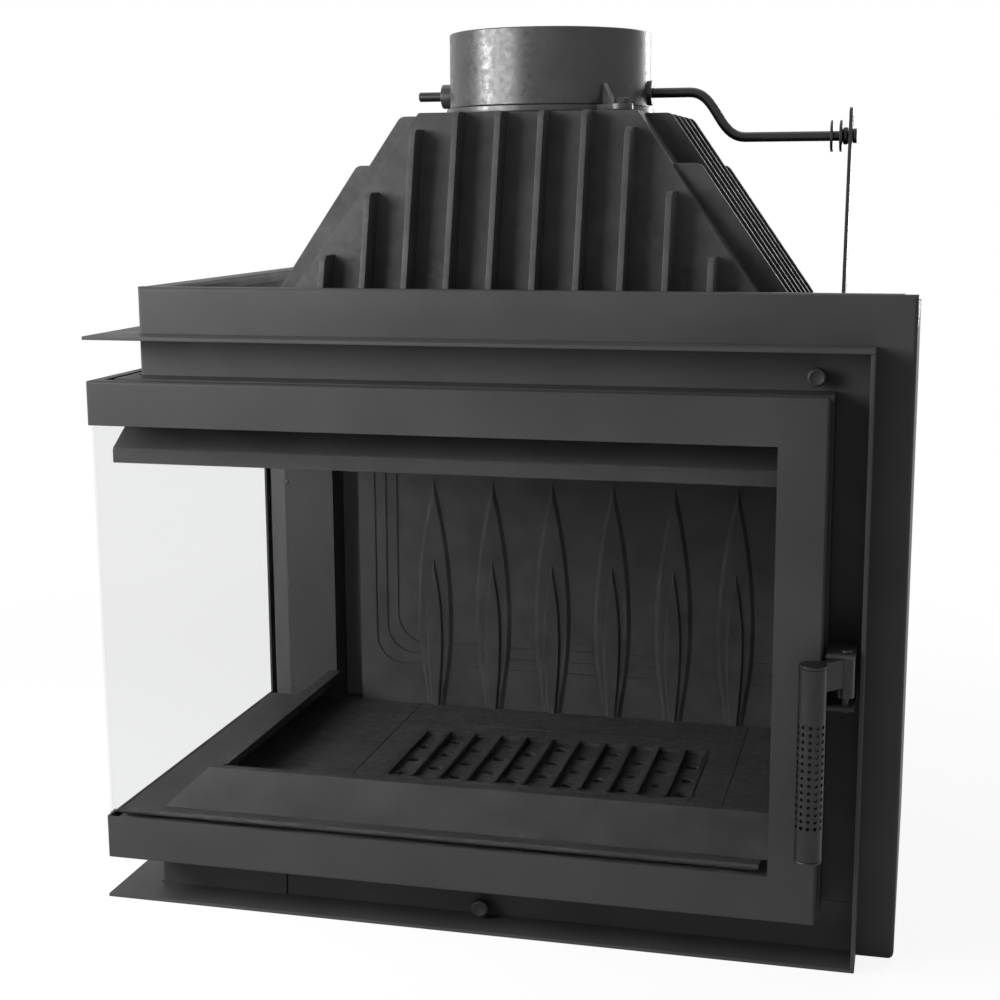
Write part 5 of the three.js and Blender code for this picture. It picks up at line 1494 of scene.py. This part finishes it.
    def rod(self) -> None:
        """Builds the push rod and the cross pin in the strap's lower end."""
        low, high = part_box("damper_push_rod")
        centre = Vector((low.x + self.rod_radius, 0, (low.z + high.z) / 2))
        pin = Vector((0, -self.pin_behind_rod, centre.z))
        pin_radius = (high.z - low.z) / 2
        cross = rounded_bar(pin_radius, centre.x - self.rod_radius, high.x, self.pin_edge)
        rod = rounded_bar(self.rod_radius, -high.y, -low.y, self.rod_edge)
        parts = [(rod, Axis.Y, centre), (cross, Axis.X, pin)]
        self.fitter.turned("damper_push_rod", parts, STEEL, Body.DAMPER_CONTROL, sides=28)


@dataclass
class Knob:
    """A control knob: a disc with a rounded rim, a shallow dish in front and a neck behind."""

    fitter: Fitter
    neck_share: float = 0.6
    throat_share: float = 0.62
    shoulder_share: float = 0.9
    neck_length: float = 0.002
    back_depth: float = 0.003
    rim: float = 0.0022
    rim_cut: float = 0.3
    dish: tuple[Point, ...] = ((1.3, 0.0002), (1.8, 0.0009))  # rims inwards, and depth
    dish_floor: float = 0.0011

    def build(self, node: str, body: Body) -> None:
        """Builds the knob.

        Args:
            node: The CAD node that it stands for.
            body: The body that it rides on.
        """
        low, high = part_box(node)
        radius = (high.x - low.x) / 2
        front, back = -low.y, -high.y
        rim, cut = self.rim, self.rim_cut * self.rim
        profile = [
            (0, back),
            (self.neck_share * radius, back),
            (self.throat_share * radius, back + self.neck_length),
            (self.shoulder_share * radius, back + self.back_depth),
            (radius, back + self.back_depth + rim / 2),
            (radius, front - rim),
            (radius - cut, front - cut),
            (radius - rim, front),
            *((radius - rims * rim, front - depth) for rims, depth in self.dish),
            (0, front - self.dish_floor),
        ]
        self.fitter.turned(node, [(profile, Axis.Y, on_face(node))], KNOB, body)


@dataclass
class AirControl:
    """The air shutter under the hearth, with its rod and knob."""

    fitter: Fitter
    shutter_edge: float = 0.0004
    rod_edge: float = 0.0006

    def build(self) -> None:
        """Builds the shutter, the rod and the knob."""
        self.fitter.soften("air_shutter", STEEL, Body.AIR_CONTROL, self.shutter_edge)
        low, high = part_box("air_rod")
        radius = (high.x - low.x) / 2
        parts = [(rounded_bar(radius, -high.y, -low.y, self.rod_edge), Axis.Y, on_face("air_rod"))]
        self.fitter.turned("air_rod", parts, STEEL, Body.AIR_CONTROL, sides=28)
        Knob(self.fitter).build("air_knob", Body.AIR_CONTROL)


# ---- Stage ------------------------------------------------------------------------------------------


@dataclass(frozen=True)
class Lamp:
    """A soft lamp: where it hangs, where it points, its size and its power."""

    name: str
    place: Triple
    target: Triple
    size: Range
    watts: float

    def hang(self) -> None:
        """Hangs the lamp."""
        light = bpy.data.lights.new(self.name, "AREA")
        light.shape = "RECTANGLE"
        light.size, light.size_y = self.size
        light.energy = self.watts
        holder = bpy.data.objects.new(self.name, light)
        holder.location = self.place
        holder.rotation_euler = (Vector(self.target) - Vector(self.place)).to_track_quat("-Z", "Y").to_euler()
        bpy.context.scene.collection.objects.link(holder)


# name, place, target, size and power
LAMPS = (
    Lamp("left_key", (-1.0, -1.15, 0.9), (-0.1, -0.2, 0.5), (0.8, 0.8), 27),
    Lamp("side_glow", (-1.5, -0.75, 0.95), (0, 0, 0.25), (0.4, 0.4), 18),
    Lamp("right_rim", (0.75, 1.65, 1.1), (0.1, 0, 0.7), (0.4, 1.2), 16),
    Lamp("top_soft", (0.1, 0.4, 2.6), (0, 0, 0.5), (1.8, 1.6), 12),
)


@dataclass
class Stage:
    """The pale floor and surroundings, the lamps and the camera."""

    lens: float = 61.13
    sensor: float = 36
    clip: Range = (0.05, 100)
    camera_place: Triple = (0.3755, -1.7021, 0.7056)
    yaw: float = 14.164
    pitch: float = 10.470
    roll: float = -0.301
    floor_half: float = 14.0
    floor_drop: float = 0.0002
    floor_white: float = 0.9
    floor_shown: float = 0.9
    shadow_reach: Range = (0.7, 1.5)
    world_light: float = 0.2

    def build(self) -> None:
        """Sets the camera, the lamps, the world and the floor."""
        self.camera()
        for lamp in LAMPS:
            lamp.hang()
        self.world()
        self.floor()
        bpy.context.scene.view_settings.view_transform = "Standard"

    def camera(self) -> None:
        """Sets the camera: a little right of the front, looking down and to the left."""
        yaw, pitch, roll = (math.radians(a) for a in (self.yaw, self.pitch, self.roll))
        ahead = Vector((-math.sin(yaw) * math.cos(pitch), math.cos(yaw) * math.cos(pitch), -math.sin(pitch)))
        level = Vector((math.cos(yaw), math.sin(yaw), 0))
        upward = level.cross(ahead)
        right = level * math.cos(roll) + upward * math.sin(roll)
        up = upward * math.cos(roll) - level * math.sin(roll)
        data = bpy.data.cameras.new("camera")
        data.lens = self.lens
        data.sensor_width = self.sensor
        data.clip_start, data.clip_end = self.clip
        holder = bpy.data.objects.new("camera", data)
        turn = Matrix((right, up, -ahead)).transposed().to_4x4()
        holder.matrix_world = Matrix.Translation(self.camera_place) @ turn
        bpy.context.scene.collection.objects.link(holder)
        bpy.context.scene.camera = holder

    def world(self) -> None:
        """Lights the scene softly from all round, and shows white to the camera, metal and glass."""
        world = bpy.data.worlds.new("surroundings")
        world.use_nodes = True
        tree = world.node_tree
        background = tree.nodes["Background"]
        background.inputs["Color"].default_value = (1, 1, 1, 1)
        shown = shown_rays(tree)
        level = tree.nodes.new("ShaderNodeMapRange")
        level.inputs["To Min"].default_value = self.world_light
        level.inputs["To Max"].default_value = 1
        tree.links.new(shown, level.inputs["Value"])
        tree.links.new(level.outputs["Result"], background.inputs["Strength"])
        bpy.context.scene.world = world

    def floor(self) -> None:
        """Lays the pale floor, which keeps the insert's soft shadow and runs out to white round it."""
        bm = bmesh.new()
        half = self.floor_half
        corners = ((-half, -half), (half, -half), (half, half), (-half, half))
        bm.faces.new([bm.verts.new((x, y, -self.floor_drop)) for x, y in corners])
        mesh = bpy.data.meshes.new("floor")
        bm.to_mesh(mesh)
        bm.free()
        sheet = NodeSheet("floor_white")
        matt = sheet.add("ShaderNodeBsdfDiffuse")
        matt.inputs["Color"].default_value = (*[self.floor_white] * 3, 1)
        bright = sheet.add("ShaderNodeEmission", Strength=1)
        share = sheet.add("ShaderNodeMath", operation="MULTIPLY")
        away = sheet.add("ShaderNodeVectorMath", operation="LENGTH")
        sheet.join(sheet.place, away.inputs[0])
        fade = sheet.add("ShaderNodeMapRange", To_Min=self.floor_shown, To_Max=1)
        fade.inputs["From Min"].default_value, fade.inputs["From Max"].default_value = self.shadow_reach
        sheet.join(away.outputs["Value"], fade.inputs["Value"])
        sheet.join(fade.outputs["Result"], share.inputs[1])
        sheet.join(shown_rays(sheet.tree), share.inputs[0])
        mix = sheet.add("ShaderNodeMixShader")
        sheet.join(share.outputs["Value"], mix.inputs["Fac"])
        sheet.join(matt.outputs["BSDF"], mix.inputs[1])
        sheet.join(bright.outputs["Emission"], mix.inputs[2])
        mesh.materials.append(sheet.shaded(mix.outputs["Shader"]))
        floor = bpy.data.objects.new("floor", mesh)
        bpy.context.scene.collection.objects.link(floor)


def shown_rays(tree: bpy.types.NodeTree) -> Socket:
    """Adds nodes that give 1 to rays from the camera, from gloss and through glass, and 0 to the rest.

    Args:
        tree: The node tree.

    Returns:
        The socket with that value.
    """
    rays = tree.nodes.new("ShaderNodeLightPath")
    first = tree.nodes.new("ShaderNodeMath")
    first.operation = "MAXIMUM"
    tree.links.new(rays.outputs["Is Camera Ray"], first.inputs[0])
    tree.links.new(rays.outputs["Is Glossy Ray"], first.inputs[1])
    both = tree.nodes.new("ShaderNodeMath")
    both.operation = "MAXIMUM"
    tree.links.new(first.outputs["Value"], both.inputs[0])
    tree.links.new(rays.outputs["Is Transmission Ray"], both.inputs[1])
    return both.outputs["Value"]


def main() -> None:
    """Loads the frame, builds each sub-assembly in order and sets the stage."""
    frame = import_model()
    fitter = Fitter(frame)
    for part in (Casing, Hearth, BackPlate, Flue, Door, Handle, Damper, AirControl):
        part(fitter).build()
        log.info("%s is built", part.__name__)
    Stage().build()
    log.info("%d pieces made", len(fitter.made))


if __name__ == "__main__":
    logging.basicConfig(level=logging.INFO, format="%(message)s")
    main()
